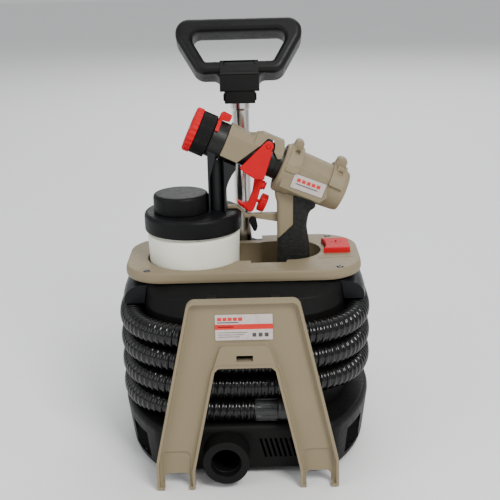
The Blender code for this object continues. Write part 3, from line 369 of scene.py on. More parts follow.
class Paint:
    """A small helper that wires one Principled material."""

    def __init__(self, name):
        self.material = bpy.data.materials.new(name)
        self.material.use_nodes = True
        self.nodes, self.links = self.material.node_tree.nodes, self.material.node_tree.links
        self.shader = self.nodes["Principled BSDF"]
        self.place = self.nodes.new("ShaderNodeTexCoord").outputs["Object"]

    def noise(self, scale, detail=3.0, stretch=None, roughness=0.55):
        node = self.nodes.new("ShaderNodeTexNoise")
        node.inputs["Scale"].default_value = scale
        node.inputs["Detail"].default_value = detail
        node.inputs["Roughness"].default_value = roughness
        source = self.place
        if stretch:
            mapping = self.nodes.new("ShaderNodeMapping")
            mapping.inputs["Scale"].default_value = stretch
            self.links.new(self.place, mapping.inputs["Vector"])
            source = mapping.outputs["Vector"]
        self.links.new(source, node.inputs["Vector"])
        return node.outputs["Fac"]

    def cells(self, scale, randomness=1.0):
        node = self.nodes.new("ShaderNodeTexVoronoi")
        node.feature = "DISTANCE_TO_EDGE"
        node.inputs["Scale"].default_value = scale
        node.inputs["Randomness"].default_value = randomness
        self.links.new(self.place, node.inputs["Vector"])
        return node.outputs["Distance"]

    def ramp(self, value, low, high, out_low=0.0, out_high=1.0):
        node = self.nodes.new("ShaderNodeMapRange")
        for socket, number in zip(("From Min", "From Max", "To Min", "To Max"),
                                  (low, high, out_low, out_high)):
            node.inputs[socket].default_value = number
        self.links.new(value, node.inputs["Value"])
        return node.outputs["Result"]

    def multiply(self, a, b):
        node = self.nodes.new("ShaderNodeMath")
        node.operation = "MULTIPLY"
        self.links.new(a, node.inputs[0])
        self.links.new(b, node.inputs[1])
        return node.outputs[0]

    def mix(self, factor, a, b):
        """Mixes two colours, each a triple or a socket."""
        node = self.nodes.new("ShaderNodeMix")
        node.data_type = "RGBA"
        self.links.new(factor, node.inputs["Factor"])
        for socket, colour in ((node.inputs[6], a), (node.inputs[7], b)):
            if isinstance(colour, tuple):
                socket.default_value = (*colour, 1.0)
            else:
                self.links.new(colour, socket)
        return node.outputs[2]

    def facing_up(self):
        geometry = self.nodes.new("ShaderNodeNewGeometry")
        split = self.nodes.new("ShaderNodeSeparateXYZ")
        self.links.new(geometry.outputs["Normal"], split.inputs[0])
        return self.ramp(split.outputs["Z"], 0.55, 1.0)

    def bump(self, heights):
        """Stacks (height, strength, distance) bumps onto the shader's normal."""
        last = None
        for height, strength, distance in heights:
            node = self.nodes.new("ShaderNodeBump")
            node.inputs["Strength"].default_value = strength
            node.inputs["Distance"].default_value = distance
            self.links.new(height, node.inputs["Height"])
            if last:
                self.links.new(last, node.inputs["Normal"])
            last = node.outputs["Normal"]
        self.links.new(last, self.shader.inputs["Normal"])

    def set(self, **values):
        for key, value in values.items():
            self.shader.inputs[key.replace("_", " ")].default_value = value

    def link(self, socket, value):
        self.links.new(value, self.shader.inputs[socket])


def moulded(name, colour, dusty, roughness=(0.42, 0.58), grain=1500, depth=0.00004, shine=0.15, dust=0.22):
    """Spark-eroded moulded plastic: fine grain, faint cloudy colour, and dust where it faces up."""
    paint = Paint(name)
    cloud = paint.ramp(paint.noise(26, 4), 0.35, 0.75, 0.0, 0.35)
    base = paint.mix(cloud, colour, tuple(c * 0.86 for c in colour))
    fluff = paint.multiply(paint.facing_up(), paint.ramp(paint.noise(85, 5), 0.42, 0.80, 0.0, dust))
    paint.link("Base Color", paint.mix(fluff, base, dusty))
    paint.link("Roughness", paint.ramp(paint.noise(140, 3), 0.3, 0.7, *roughness))
    paint.bump([(paint.noise(grain, 2), 0.35, depth), (paint.noise(22, 2), 0.12, 0.0004)])
    paint.set(Specular_IOR_Level=shine)
    return paint.material


def make_materials():
    paints = {}
    paints["tan"] = moulded("tan_plastic", (0.247, 0.202, 0.128), (0.29, 0.25, 0.175), shine=0.16)
    paints["black"] = moulded("black_plastic", (0.0064, 0.0066, 0.0063), (0.017, 0.018, 0.018), (0.40, 0.55),
                              shine=0.11)
    paints["grip"] = moulded("handle_plastic", (0.0060, 0.0062, 0.0061), (0.015, 0.016, 0.016), (0.36, 0.50),
                             900, shine=0.22)
    paints["dark"] = moulded("dark_plastic", (0.018, 0.019, 0.020), (0.04, 0.04, 0.04), (0.32, 0.44), 1900)
    paints["rubber"] = moulded("rubber", (0.010, 0.010, 0.011), (0.03, 0.03, 0.028), (0.62, 0.82), 700,
                               0.00008, shine=0.14)
    paints["lid"] = moulded("lid_plastic", (0.0062, 0.0063, 0.0070), (0.015, 0.016, 0.019), (0.40, 0.52),
                            1700, shine=0.13)
    paints["dome"] = moulded("shoulder_plastic", (0.0075, 0.0084, 0.0100), (0.030, 0.034, 0.042),
                             (0.30, 0.42), 1700)

    paints["satin"] = moulded("satin_plastic", (0.0105, 0.0110, 0.0104), (0.022, 0.023, 0.022), (0.36, 0.48),
                              1500, shine=0.26)

    # Near-black sheet with a cell texture for the intake windows: painted shade for the dark opening behind
    # each window.
    foam = Paint("filter_foam")
    sheet_cells = foam.ramp(foam.cells(700, 0.8), 0.0, 0.10)
    foam.link("Base Color", foam.mix(sheet_cells, (0.0060, 0.0060, 0.0060), (0.0020, 0.0020, 0.0021)))
    foam.link("Roughness", foam.ramp(sheet_cells, 0.0, 1.0, 0.75, 0.95))
    foam.set(Specular_IOR_Level=0.05)
    foam.bump([(sheet_cells, 0.6, 0.0004)])
    paints["foam"] = foam.material

    hide = Paint("crackled_grip")
    cracks = hide.ramp(hide.cells(150, 0.9), 0.0, 0.12)
    hide.link("Base Color", hide.mix(cracks, (0.004, 0.004, 0.004), (0.0085, 0.0088, 0.0086)))
    hide.link("Roughness", hide.ramp(hide.noise(150, 3), 0.3, 0.7, 0.44, 0.60))
    hide.set(Specular_IOR_Level=0.32)
    hide.bump([(cracks, 0.55, 0.0005), (hide.noise(1500, 2), 0.3, 0.00004)])
    paints["hide"] = hide.material

    red = Paint("red_plastic")
    tone = red.ramp(red.noise(60, 3), 0.3, 0.7, 0.0, 0.4)
    red.link("Base Color", red.mix(tone, (0.56, 0.008, 0.015), (0.49, 0.006, 0.011)))
    red.link("Roughness", red.ramp(red.noise(180, 3), 0.3, 0.7, 0.34, 0.46))
    red.set(Specular_IOR_Level=0.07)
    red.bump([(red.noise(1400, 2), 0.18, 0.00003)])
    paints["red"] = red.material

    hose = Paint("hose_plastic")
    dirt = hose.ramp(hose.noise(55, 5), 0.45, 0.85, 0.0, 0.35)
    hose.link("Base Color", hose.mix(dirt, (0.0035, 0.0035, 0.0036), (0.009, 0.009, 0.0085)))
    hose.link("Roughness", hose.ramp(hose.noise(120, 4), 0.3, 0.75, 0.11, 0.22))
    hose.set(Specular_IOR_Level=0.38)
    hose.bump([(hose.noise(300, 3), 0.10, 0.00008)])
    paints["hose"] = hose.material

    cuff = Paint("cuff_plastic")
    tone = cuff.ramp(cuff.noise(90, 4), 0.35, 0.75, 0.0, 0.5)
    cuff.link("Base Color", cuff.mix(tone, (0.017, 0.018, 0.018), (0.010, 0.011, 0.011)))
    cuff.link("Roughness", cuff.ramp(cuff.noise(150, 3), 0.3, 0.7, 0.24, 0.36))
    cuff.bump([(cuff.noise(1600, 2), 0.15, 0.00003)])
    paints["cuff"] = cuff.material

    chrome = Paint("chrome")
    scratches = chrome.noise(900, 2, (1.0, 1.0, 0.02))
    # Vertical bands of dark and bright base colour along the tubes: painted reflection streaks.
    painted_reflection_streaks = chrome.ramp(chrome.noise(230, 2, (1.0, 1.0, 0.004)), 0.40, 0.62)
    chrome.link("Base Color", chrome.mix(painted_reflection_streaks, (0.38, 0.36, 0.34), (0.92, 0.92, 0.93)))
    chrome.link("Roughness", chrome.ramp(scratches, 0.35, 0.7, 0.16, 0.24))
    chrome.set(Metallic=1.0)
    chrome.bump([(scratches, 0.04, 0.00002)])
    paints["chrome"] = chrome.material

    steel = Paint("steel")
    lines = steel.noise(700, 3, (0.05, 1.0, 1.0))
    steel.link("Base Color", steel.mix(steel.ramp(steel.noise(300, 3), 0.3, 0.7), (0.50, 0.50, 0.51),
                                       (0.38, 0.38, 0.39)))
    steel.link("Roughness", steel.ramp(lines, 0.3, 0.7, 0.24, 0.40))
    steel.set(Metallic=1.0)
    steel.bump([(lines, 0.08, 0.00003)])
    paints["steel"] = steel.material

    blued = Paint("blued_steel")
    lines = blued.noise(600, 3)
    blued.link("Base Color", blued.mix(lines, (0.16, 0.16, 0.17), (0.08, 0.08, 0.09)))
    blued.link("Roughness", blued.ramp(lines, 0.3, 0.7, 0.30, 0.45))
    blued.set(Metallic=1.0)
    blued.bump([(lines, 0.10, 0.00003)])
    paints["blued"] = blued.material

    copper = Paint("stator_core")
    sheets = copper.noise(30, 2, (0.2, 0.2, 40.0))
    copper.link("Base Color", copper.mix(sheets, (0.20, 0.085, 0.035), (0.10, 0.09, 0.09)))
    copper.link("Roughness", copper.ramp(sheets, 0.3, 0.7, 0.35, 0.6))
    copper.set(Metallic=0.6)
    copper.bump([(sheets, 0.3, 0.0002)])
    paints["copper"] = copper.material

    jar = Paint("jar_plastic")
    milk = jar.ramp(jar.noise(18, 3), 0.3, 0.75, 0.0, 0.6)
    jar.link("Base Color", jar.mix(milk, (0.90, 0.905, 0.77), (0.84, 0.85, 0.72)))
    jar.link("Roughness", jar.ramp(jar.noise(110, 3), 0.3, 0.7, 0.30, 0.42))
    jar.set(Subsurface_Weight=0.15, Subsurface_Radius=(0.02, 0.022, 0.016), Subsurface_Scale=0.2)
    jar.bump([(jar.noise(30, 3), 0.15, 0.0006), (jar.noise(900, 2), 0.10, 0.00004)])
    paints["jar"] = jar.material

    for name, colour, dark in (("paper", (0.56, 0.50, 0.47), (0.48, 0.42, 0.40)),
                               ("band", (0.64, 0.030, 0.024), (0.56, 0.024, 0.020)),
                               ("ink", (0.055, 0.050, 0.055), (0.085, 0.080, 0.080)),
                               ("red_ink", (0.62, 0.040, 0.034), (0.54, 0.032, 0.028))):
        film = Paint("label_" + name)
        film.link("Base Color", film.mix(film.ramp(film.noise(220, 4), 0.35, 0.7), colour, dark))
        film.link("Roughness", film.ramp(film.noise(90, 3), 0.3, 0.7, 0.28, 0.42))
        film.bump([(film.noise(1300, 2), 0.08, 0.00002)])
        film.set(Specular_IOR_Level=0.25)
        paints[name] = film.material
    return paints


PAINT = make_materials()


# ---------------------------------------------------------------- hose

def hose_plan():
    fine = [(-x, y) for x, y in oval(*HOSE_OVAL, count=1440)]
    lengths = [0.0]
    for a, b in zip(fine, fine[1:] + fine[:1]):
        lengths.append(lengths[-1] + math.dist(a, b))
    return fine + fine[:1], lengths


def hose_point(turns, plan, lengths):
    """A point on the hose's centreline: turns counts from the middle of the front, leftwards."""
    part = (turns + 0.75) % 1.0 * lengths[-1]
    low, high = 0, len(lengths) - 1
    while high - low > 1:
        middle = (low + high) // 2
        low, high = (middle, high) if lengths[middle] <= part else (low, middle)
    share = (part - lengths[low]) / (lengths[high] - lengths[low])
    x, y = (plan[low][i] * (1 - share) + plan[high][i] * share for i in (0, 1))
    whole, rest = math.floor(turns), turns % 1.0
    climb = min(1.0, max(0.0, (rest - CLIMB[0]) / (CLIMB[1] - CLIMB[0])))
    return Vector((x, y, HOSE_LOW + HOSE_PITCH * (whole + climb * climb * (3 - 2 * climb))))


def rib_radius(phase):
    """Radius along one pitch of the hose: a broad round rib, a groove and a narrow bead."""
    if phase < 0.68:
        return HOSE_RADIUS - 0.0019 + 0.0018 * math.sin(math.pi * phase / 0.68) ** 0.5
    return HOSE_RADIUS - 0.0019 + 0.0007 * math.sin(math.pi * (phase - 0.68) / 0.32) ** 2


def make_hose():
    plan, lengths = hose_plan()
    turns = HOSE_END - HOSE_START
    total = turns * lengths[-1]
    ribs = round(total / RIB_PITCH)
    steps, sides = 12, 32
    count = ribs * steps
    loops, path = [], []
    for i in range(count + 1):
        here = hose_point(HOSE_START + turns * i / count, plan, lengths)
        ahead = hose_point(HOSE_START + turns * min(i + 1, count) / count, plan, lengths)
        behind = hose_point(HOSE_START + turns * max(i - 1, 0) / count, plan, lengths)
        along = (ahead - behind).normalized()
        out = along.cross(Vector((0, 0, 1))).normalized()
        up = out.cross(along)
        loop = []
        for k in range(sides):
            angle = 2 * math.pi * k / sides
            radius = rib_radius((i / steps - k / sides) % 1.0)
            loop.append(here + out * radius * math.cos(angle) + up * radius * math.sin(angle))
        loops.append(loop)
        if i % (4 * steps) == 0 or i == count:
            path.append(tuple(here))
    hose = add("air_hose_tube", skin(loops), PAINT["hose"])
    hose.data.shade_smooth()
    length = sum(math.dist(a, b) for a, b in zip(path, path[1:]))
    return hose, path, length


def cuff_piece(name, centre, heading):
    """A swivel cuff: a ribbed grip, a groove and a plain spigot."""
    grip_end, spigot_end = 0.025, CUFF_LENGTH
    profile = softened([(0.0112, 0.0), (0.0135, 0.0), (0.0141, 0.0012), (0.0141, grip_end),
                        (0.0133, grip_end + 0.001), (0.0133, grip_end + 0.0026), (0.0137, grip_end + 0.0034),
                        (0.0137, 0.046), (0.0130, 0.048), (0.0127, spigot_end - 0.001), (0.0122, spigot_end),
                        (0.0110, spigot_end),
                        (0.0108, 0.004), (0.0112, 0.0)], 0.0004)

    def ribs(angle, radius, height):
        grooved = 0.0020 < height < grip_end - 0.001 and radius > 0.0138
        return radius - (0.0009 if grooved and (angle * 5 / math.pi) % 1.0 < 0.30 else 0.0)

    dense = []
    for a, b in zip(profile, profile[1:] + profile[:1]):
        pieces = 6 if a[0] > 0.0138 and b[0] > 0.0138 and abs(a[1] - b[1]) > 0.01 else 1
        dense += [tuple(Vector(a).lerp(Vector(b), i / pieces)) for i in range(pieces)]
    turn = Matrix.Rotation(math.atan2(heading.y, heading.x), 4, "Z")
    shape = moved(turned(dense, "X", count=180, ring=True, wave=ribs), Matrix.Translation(centre) @ turn)
    piece = add(name, shape, PAINT["cuff"])
    piece.data.shade_smooth()
    piece.data.set_sharp_from_angle(angle=math.radians(35))
    return piece


def make_air_hose():
    hose, path, length = make_hose()
    plan, lengths = hose_plan()
    steps_along = 79
    for name, node, turns, step in (("hose_cuff_free", "hose_cuff_front", HOSE_START, 1),
                                    ("hose_cuff_back", "hose_cuff_rear", HOSE_END, -1)):
        end = hose_point(turns, plan, lengths)
        away = hose_point(turns + step * (HOSE_END - HOSE_START) / steps_along, plan, lengths)
        heading = (end - away).normalized()
        heading.z = 0.0
        cuff = cuff_piece(name, end + heading * 0.0008, heading)
        place(cuff, "base", "dark_plastic", node)
    place(hose, "base", "gloss_black", "air_hose")


# ---------------------------------------------------------------- base

def base_plan(shrink=0.0):
    """Two elliptical sides, cut flat at the front and back, with round corners."""
    wide, deep, flat = BASE_HALF_WIDTH - shrink, BASE_ARC_DEPTH - shrink, BASE_FLAT - shrink
    corner_x = wide * math.sqrt(1 - (flat / deep) ** 2)
    reach = math.asin(0.93 * flat / deep)
    side = [(wide * math.cos(t), deep * math.sin(t)) for t in (reach * (k / 18 - 1) for k in range(37))]
    start, corner, end = Vector(side[-1]), Vector((corner_x, flat)), Vector((corner_x - 0.014, flat))
    for k in range(1, 9):
        t = k / 8
        side.append(tuple(start * (1 - t) ** 2 + corner * 2 * t * (1 - t) + end * t * t))
    side.append((corner_x * 0.5, flat))
    lower = [(x, -y) for x, y in reversed(side[-9:])]
    right = lower + side
    return right + [(-x, -y) for x, y in right]


def drum_plan_like(outline, half_x, half_y):
    """Points of the drum's oval in the same directions as an outline's points."""
    points = []
    for x, y in outline:
        angle = math.atan2(y, x)
        c, s = abs(math.cos(angle)), abs(math.sin(angle))
        far = ((c / half_x) ** OVAL_POWER + (s / half_y) ** OVAL_POWER) ** (-1 / OVAL_POWER)
        points.append((far * math.cos(angle), far * math.sin(angle)))
    return points


def window_shape(width, low, high, near, far, side):
    """A box across the base's wall at the intake window of one front corner."""
    centre, heading = Vector((0.1215, -0.0945)), math.atan2(0.040, 0.025)
    along = Vector((math.cos(heading), math.sin(heading)))
    out = Vector((along.y, -along.x))
    corners = [centre + along * a + out * o for a, o in
               ((-width / 2, near), (width / 2, near), (width / 2, far), (-width / 2, far))]
    return prism([(side * p.x, p.y) for p in corners], low, high)


def wheel_arch(side, radius, inner, outer):
    x0, x1 = sorted((side * inner, side * outer))
    return rod(radius, x0, x1, "X", (WHEEL_Y, WHEEL_RADIUS), 72)


def make_base():
    plan = base_plan()
    rim = [(base_plan(0.0060 * t ** 1.6), 0.0560 + (BASE_TOP - 0.0560) * (1 - (1 - t) ** 1.9))
           for t in (k / 8 for k in range(9))]
    hole = drum_plan_like(plan, 0.110, 0.106)
    waist = base_plan(BASE_DRAFT * (0.056 - 0.030) / 0.048)
    outside = [(base_plan(BASE_DRAFT), BASE_BOTTOM), (waist, 0.0300)] + rim
    inside = [(hole, BASE_TOP), (hole, BASE_TOP - WALL), (base_plan(0.0075), BASE_TOP - WALL),
              (base_plan(WALL), 0.056), (base_plan(BASE_DRAFT + WALL), BASE_BOTTOM)]
    base = add("base_shell", upright(outside + inside, ring=True), PAINT["black"])
    for side in (-1, 1):
        liner = add("liner", wheel_arch(side, WHEEL_RADIUS + 0.006, 0.1095, 0.16), None)
        combine(liner, upright(outside), "INTERSECT")
        combine(base, ([v.co.copy() for v in liner.data.vertices],
                       [tuple(p.vertices) for p in liner.data.polygons]), "UNION")
        bpy.data.objects.remove(liner)
        combine(base, wheel_arch(side, WHEEL_RADIUS + 0.0035, 0.1125, 0.20))
        combine(base, window_shape(0.044, 0.0125, 0.0455, -0.02, 0.03, side))
    combine(base, rod(0.0038, -0.13, 0.13, "X", (WHEEL_Y, WHEEL_RADIUS), 24))
    combine(base, rod(OUTLET_RADIUS + 0.0003, -0.160, -0.125, "Y", (OUTLET_X, OUTLET_Z), 64))
    combine(base, rod(0.0058, 0.12, 0.16, "Y", (-0.050, 0.0475), 24))
    for slot in range(9):
        combine(base, vent_slot(0.0135 + 0.0056 * slot))
    for tooth in range(30):
        x = -0.004 + 0.0021 * tooth
        combine(base, box(x, x + 0.0011, -0.150, -0.128, 0.007, 0.0093))
    finish_edges(base, 0.00035, 2)
    place(base, "base", "black_plastic", "base_housing")


# Sets a near-black sheet in each intake window: painted shade for the dark opening behind it.
def make_intake_shade_sheets():
    for side, name in ((-1, "left"), (1, "right")):
        dark_sheet = add("intake_foam_" + name, window_shape(0.0432, 0.0130, 0.0450, -0.0040, -0.0018, side),
                     PAINT["foam"])
        finish_edges(dark_sheet, 0.0004, 2)
        place(dark_sheet, "base", "black_plastic", "intake_grille_" + name)


def vent_slot(x):
    width, low, high, lean = 0.0027, 0.0225, 0.0475, 0.0062
    outline = [(x, high), (x + width, high), (x + width + lean, low), (x + lean, low)]
    return prism(outline, -0.150, -0.125, "Y")


def make_outlet():
    profile = softened([(OUTLET_BORE + 0.0014, -0.1670), (OUTLET_RADIUS - 0.0005, -0.1670),
                        (OUTLET_RADIUS, -0.1660), (OUTLET_RADIUS, -0.1370), (0.0185, -0.1370),
                        (0.0185, -0.098), (OUTLET_BORE, -0.098), (OUTLET_BORE, -0.1562),
                        (OUTLET_BORE + 0.0010, -0.1572),
                        (OUTLET_BORE + 0.0010, -0.1655)], 0.0009, 4)
    piece = add("air_outlet_socket", turned(profile, "Y", (OUTLET_X, OUTLET_Z), 96, True), PAINT["black"])
    finish_edges(piece, 0)
    place(piece, "base", "black_plastic", "air_outlet")


def make_feet():
    profile = softened([(0.0001, 0.0), (0.0085, 0.0), (0.0095, 0.0012), (0.0091, 0.0040), (0.0088, 0.0092),
                        (0.0001, 0.0092)], 0.0006)
    for name, node, side in (("rubber_foot_left", "foot_left", -1), ("rubber_foot_right", "foot_right", 1)):
        piece = add(name, turned(profile, centre=(side * 0.085, -0.112), count=48), PAINT["rubber"])
        finish_edges(piece, 0)
        place(piece, "base", "rubber", node)


def make_wheels():
    half = (WHEEL_OUTER - WHEEL_INNER) / 2
    tyre = softened([(0.0292, -half), (0.0345, -half), (WHEEL_RADIUS, -half + 0.0025),
                     (WHEEL_RADIUS, half - 0.0025),
                     (0.0345, half), (0.0292, half), (0.0285, half - 0.0010), (0.0285, -half + 0.0010)],
                    0.0012, 4)

    def tread(angle, radius, height):
        grooved = abs(height) < half - 0.0018 and radius > WHEEL_RADIUS - 0.0004
        return radius - (0.0006 if grooved and (angle * 30 / math.pi) % 1.0 < 0.25 else 0.0)

    dense = []
    for a, b in zip(tyre, tyre[1:] + tyre[:1]):
        pieces = 8 if abs(a[1] - b[1]) > 0.01 and a[0] > 0.034 else 1
        dense += [tuple(Vector(a).lerp(Vector(b), i / pieces)) for i in range(pieces)]
    disc = [(0.0040, -half), (0.0110, -half), (0.0110, -half + 0.004), (0.0282, -half + 0.004),
            (0.0282, half - 0.004), (0.0110, half - 0.004), (0.0110, half), (0.0040, half)]
    for side, body, node in ((-1, "left_wheel", "wheel_left"), (1, "right_wheel", "wheel_right")):
        middle = Matrix.Translation((side * (WHEEL_INNER + WHEEL_OUTER) / 2, WHEEL_Y, WHEEL_RADIUS))
        rubber = add(node + "_tyre", moved(turned(dense, "X", count=240, ring=True, wave=tread), middle),
                     PAINT["rubber"])
        finish_edges(rubber, 0)
        place(rubber, body, "rubber", node)
        hub = add(node + "_hub", moved(turned(softened(disc, 0.0008), "X", count=72, ring=True), middle),
                  PAINT["dark"])
        for spoke in range(6):
            angle = math.pi / 3 * spoke
            hole = rounded([(0.0135, -0.0034, 0.0015), (0.0255, -0.0072, 0.002), (0.0255, 0.0072, 0.002),
                            (0.0135, 0.0034, 0.0015)])
            spin = Matrix.Rotation(angle, 2)
            outline = [tuple(spin @ Vector(p)) for p in hole]
            combine(hub, moved(prism(outline, -0.02, 0.02, "X"), middle))
        finish_edges(hub, 0.0004, 2)
        place(hub, body, "rubber")


def make_axle():
    end, shoulder = 0.1435, WHEEL_OUTER + 0.0003
    for side in (-1, 1):
        low, high = sorted((side * end, side * shoulder))
        if side < 0:
            profile = [(0.0001, low), (0.0045, low), (0.0060, low + 0.0012), (0.0060, high), (0.0001, high)]
        else:
            profile = [(0.0001, low), (0.0060, low), (0.0060, high - 0.0012), (0.0045, high), (0.0001, high)]
        cap = add(("axle_cap_left", "axle_cap_right")[side > 0],
                  turned(softened(profile, 0.0004), "X", (WHEEL_Y, WHEEL_RADIUS), 40), PAINT["steel"])
        finish_edges(cap, 0)
        place(cap, "base", "steel")
    shaft = add("axle_shaft", rod(0.0035, -shoulder, shoulder, "X", (WHEEL_Y, WHEEL_RADIUS), 40),
                PAINT["steel"])
    finish_edges(shaft, 0)
    place(shaft, "base", "steel", "wheel_axle")


def make_gland():
    profile = [(0.0030, 0.1340), (0.0055, 0.1340), (0.0055, 0.1413), (0.0078, 0.1413), (0.0078, 0.1450)]
    for ring in range(4):
        y, radius = 0.1458 + 0.0027 * ring, 0.0068 - 0.0003 * ring
        profile += [(radius, y), (radius, y + 0.0015), (radius - 0.0011, y + 0.0018),
                    (radius - 0.0011, y + 0.0025)]
    profile += [(0.0050, 0.1570), (0.0030, 0.1570)]
    piece = add("cable_sleeve", turned(softened(profile, 0.0003), "Y", (-0.050, 0.0475), 48, True),
                PAINT["rubber"])
    finish_edges(piece, 0)
    place(piece, "base", "rubber", "cable_gland")


# ---------------------------------------------------------------- drum, shoulder

def tub_sections(grow=0.0):
    """Outlines of the drum and of the tub above it, which narrows to the tray's depth."""
    sections = ((DRUM[0], DRUM[1], 0.0, 2.9, BASE_TOP + 0.0003),
                (DRUM[0], DRUM[1], 0.0, 2.9, DRUM_TOP - 0.001),
                (DRUM[0], DRUM[1] - 0.0006, 0.0, 2.9, DRUM_TOP + 0.0005),
                (0.1215, 0.0935, 0.003, 3.2, 0.1925), (0.1220, 0.0925, 0.003, 3.2, 0.1938),
                (0.1280, 0.0680, 0.0055, 4.0, TUB_TOP))
    return [(oval(a + grow, b + grow, power, 160, (0, y)), z) for a, b, y, power, z in sections]


def guide_cutter():
    return rod(0.0155, 0.170, 0.30, "Z", (0, TUBE_Y), 64)


def make_drum():
    drum = add("hose_drum", upright(tub_sections() + tub_sections(-0.0020)[::-1], ring=True), PAINT["black"])
    combine(drum, guide_cutter())
    for side in (-1, 1):
        x0, x1 = sorted((side * 0.031, side * 0.041))
        arm = [(HINGE_Y - 0.0055, HINGE_Z - 0.007, 0.003), (-0.0930, HINGE_Z - 0.007, 0),
               (-0.0880, HINGE_Z + 0.007, 0), (HINGE_Y - 0.0055, HINGE_Z + 0.007, 0.003)]
        combine(drum, prism(rounded(arm), x0, x1, "X"), "UNION")
        combine(drum, rod(0.0029, x0 - 0.01, x1 + 0.01, "X", (HINGE_Y, HINGE_Z), 32))
    finish_edges(drum, 0.0004, 2, 25)
    place(drum, "base", "black_plastic", "drum_shell")


def make_shoulder():
    rings = [(0.1429, 0.1808), (0.1435, 0.1814), (0.1435, 0.1838)]
    for k in range(1, 11):
        t = math.pi / 2 * k / 10
        rings.append((0.1180 + 0.0255 * math.cos(t) ** 0.85, 0.1840 + 0.0190 * math.sin(t)))
    shoulder = add("shoulder_dome", upright([(oval(a, a - 0.008, count=160), z) for a, z in rings]),
                   PAINT["dome"])
    grown = tub_sections(0.0010)
    grown = [(grown[0][0], 0.17)] + grown[1:] + [(grown[-1][0], 0.23)]
    combine(shoulder, upright(grown))
    combine(shoulder, box(-0.2, 0.2, -0.2, -0.055, 0.1, 0.3))
    combine(shoulder, guide_cutter())
    finish_edges(shoulder, 0.0005, 2, 40)
    place(shoulder, "base", "black_plastic", "hose_shoulder")


# ---------------------------------------------------------------- tray

def tray_plan(shrink=0.0):
    wide, deep = TRAY_HALF_WIDTH - shrink, TRAY_HALF_DEPTH - shrink
    return box_outline(-wide, wide, TRAY_Y - deep, TRAY_Y + deep, TRAY_CORNER - shrink, 24)


def gun_well(grow=0.0):
    x, y, radius = GUN_WELL_END
    arc = circle(radius + grow, 40, (x, y), -math.pi * 0.43, math.pi * 0.93)
    front = [(-0.014, -0.0255 - grow), (0.0070, -0.0255 - grow), (0.0085 - grow, -0.0265 - grow),
             (0.0090 - grow, -0.0340 - grow), (0.0500 + grow, -0.0340 - grow),
             (0.0512 + grow, -0.0262 - grow), (0.0530, -0.0255 - grow)]
    back = [(0.026, y + radius + grow - 0.004), (0.020, 0.0440 + grow), (-0.022, 0.0440 + grow)]
    return front + arc + back


def button_plan(grow=0.0):
    left = [(0.0955, 0.0380), (0.0985, 0.0260), (0.0995, 0.0140), (0.0985, 0.0040), (0.0960, -0.0030)]
    right = [(0.1255, -0.0030), (0.1280, -0.0005), (0.1280, 0.0355), (0.1255, 0.0380)]
    return inset(left + right, -grow)


def make_tray():
    rim = [(tray_plan(0.0018), TRAY_SKIRT), (tray_plan(0.0010), TRAY_SKIRT + 0.0006),
           (tray_plan(0.0002), 0.2105), (tray_plan(), 0.2122), (tray_plan(0.0004), 0.2160),
           (tray_plan(0.0009), 0.2183),
           (tray_plan(0.0016), 0.2194), (tray_plan(0.0027), TRAY_TOP)]
    tray = add("top_tray", upright(rim), PAINT["tan"])
    combine(tray, prism(tray_plan(0.0036), 0.19, TRAY_TOP - DECK))
    x, y, radius = CUP_WELL
    wall_top = TRAY_TOP - 0.0012
    combine(tray, rod(radius + WELL_WALL, CUP_WELL_FLOOR - 0.0022, wall_top, "Z", (x, y), 96), "UNION")
    combine(tray, prism(gun_well(WELL_WALL), GUN_WELL_FLOOR - 0.0022, wall_top), "UNION")
    combine(tray, rod(radius, CUP_WELL_FLOOR, 0.30, "Z", (x, y), 96))
    combine(tray, prism(gun_well(), GUN_WELL_FLOOR, 0.30))
    combine(tray, prism(box_outline(-0.023, 0.023, 0.055, 0.2, 0.003), 0.19, 0.3))
    combine(tray, prism(button_plan(0.0005), 0.20, 0.30))
    for x, y in SCREWS:
        combine(tray, rod(0.0021, 0.20, 0.30, "Z", (x, y), 20))
        combine(tray, rod(0.0042, 0.2186, 0.30, "Z", (x, y), 32))
    ledge = [(0.0870, -0.0230), (0.1310, -0.0185), (0.1310, -0.0175), (0.0870, -0.0215)]
    combine(tray, prism(ledge, 0.2194, 0.23))
    finish_edges(tray, 0.0006, 3, 32)
    place(tray, "base", "tan_plastic", "tray")


def make_screws():
    profile = softened([(0.0001, 0.2085), (0.0018, 0.2085), (0.0018, 0.2189), (0.0036, 0.2189),
                        (0.0036, 0.2202), (0.0028, 0.2210), (0.0001, 0.2212)], 0.0003)
    for number, centre in enumerate(SCREWS, 1):
        screw = add(f"pan_screw_{number}", turned(profile, centre=centre, count=40), PAINT["blued"])
        x, y = centre
        for a, b in ((0.0020, 0.00035), (0.00035, 0.0020)):
            combine(screw, box(x - a, x + a, y - b, y + b, 0.2198, 0.2220))
        finish_edges(screw, 0.00012, 1)
        place(screw, "base", "steel", f"tray_screw_{number}")


def make_power_button():
    plan = button_plan()
    levels = [(plan, 0.2145), (plan, 0.2250), (inset(plan, 0.0003), 0.2257), (inset(plan, 0.0010), 0.2262),
              (inset(plan, 0.0020), 0.2264)]
    pad = add("power_pad", upright(levels), PAINT["red"])
    ring = pipe(0.0062, 0.0052, 0.2259, 0.2270, "Z", (0.1125, 0.0190), 48)
    combine(pad, ring)
    combine(pad, box(0.1119, 0.1131, 0.0185, 0.0262, 0.2259, 0.2270))
    finish_edges(pad, 0.0005, 2)
    place(pad, "power_switch", "red_plastic", "power_button")


# ---------------------------------------------------------------- front bracket

def bracket_corners(lowered=0.0):
    """Front view of the bracket, an inverted V with upright feet, as corners (x, z, radius)."""
    slant = (0.1010 - 0.0600) / (BRACKET_TOP - 0.0310)
    right = [(0.0600 + slant * lowered, BRACKET_TOP - lowered, 0.010), (0.1010, 0.0310, 0.006),
             (0.1010, 0.0006, 0.0020), (0.0582, 0.0006, 0.0020), (0.0582, 0.0220, 0.006),
             (0.0322, 0.1417, 0.007)]
    return right + [(-x, z, r) for x, z, r in reversed(right)]


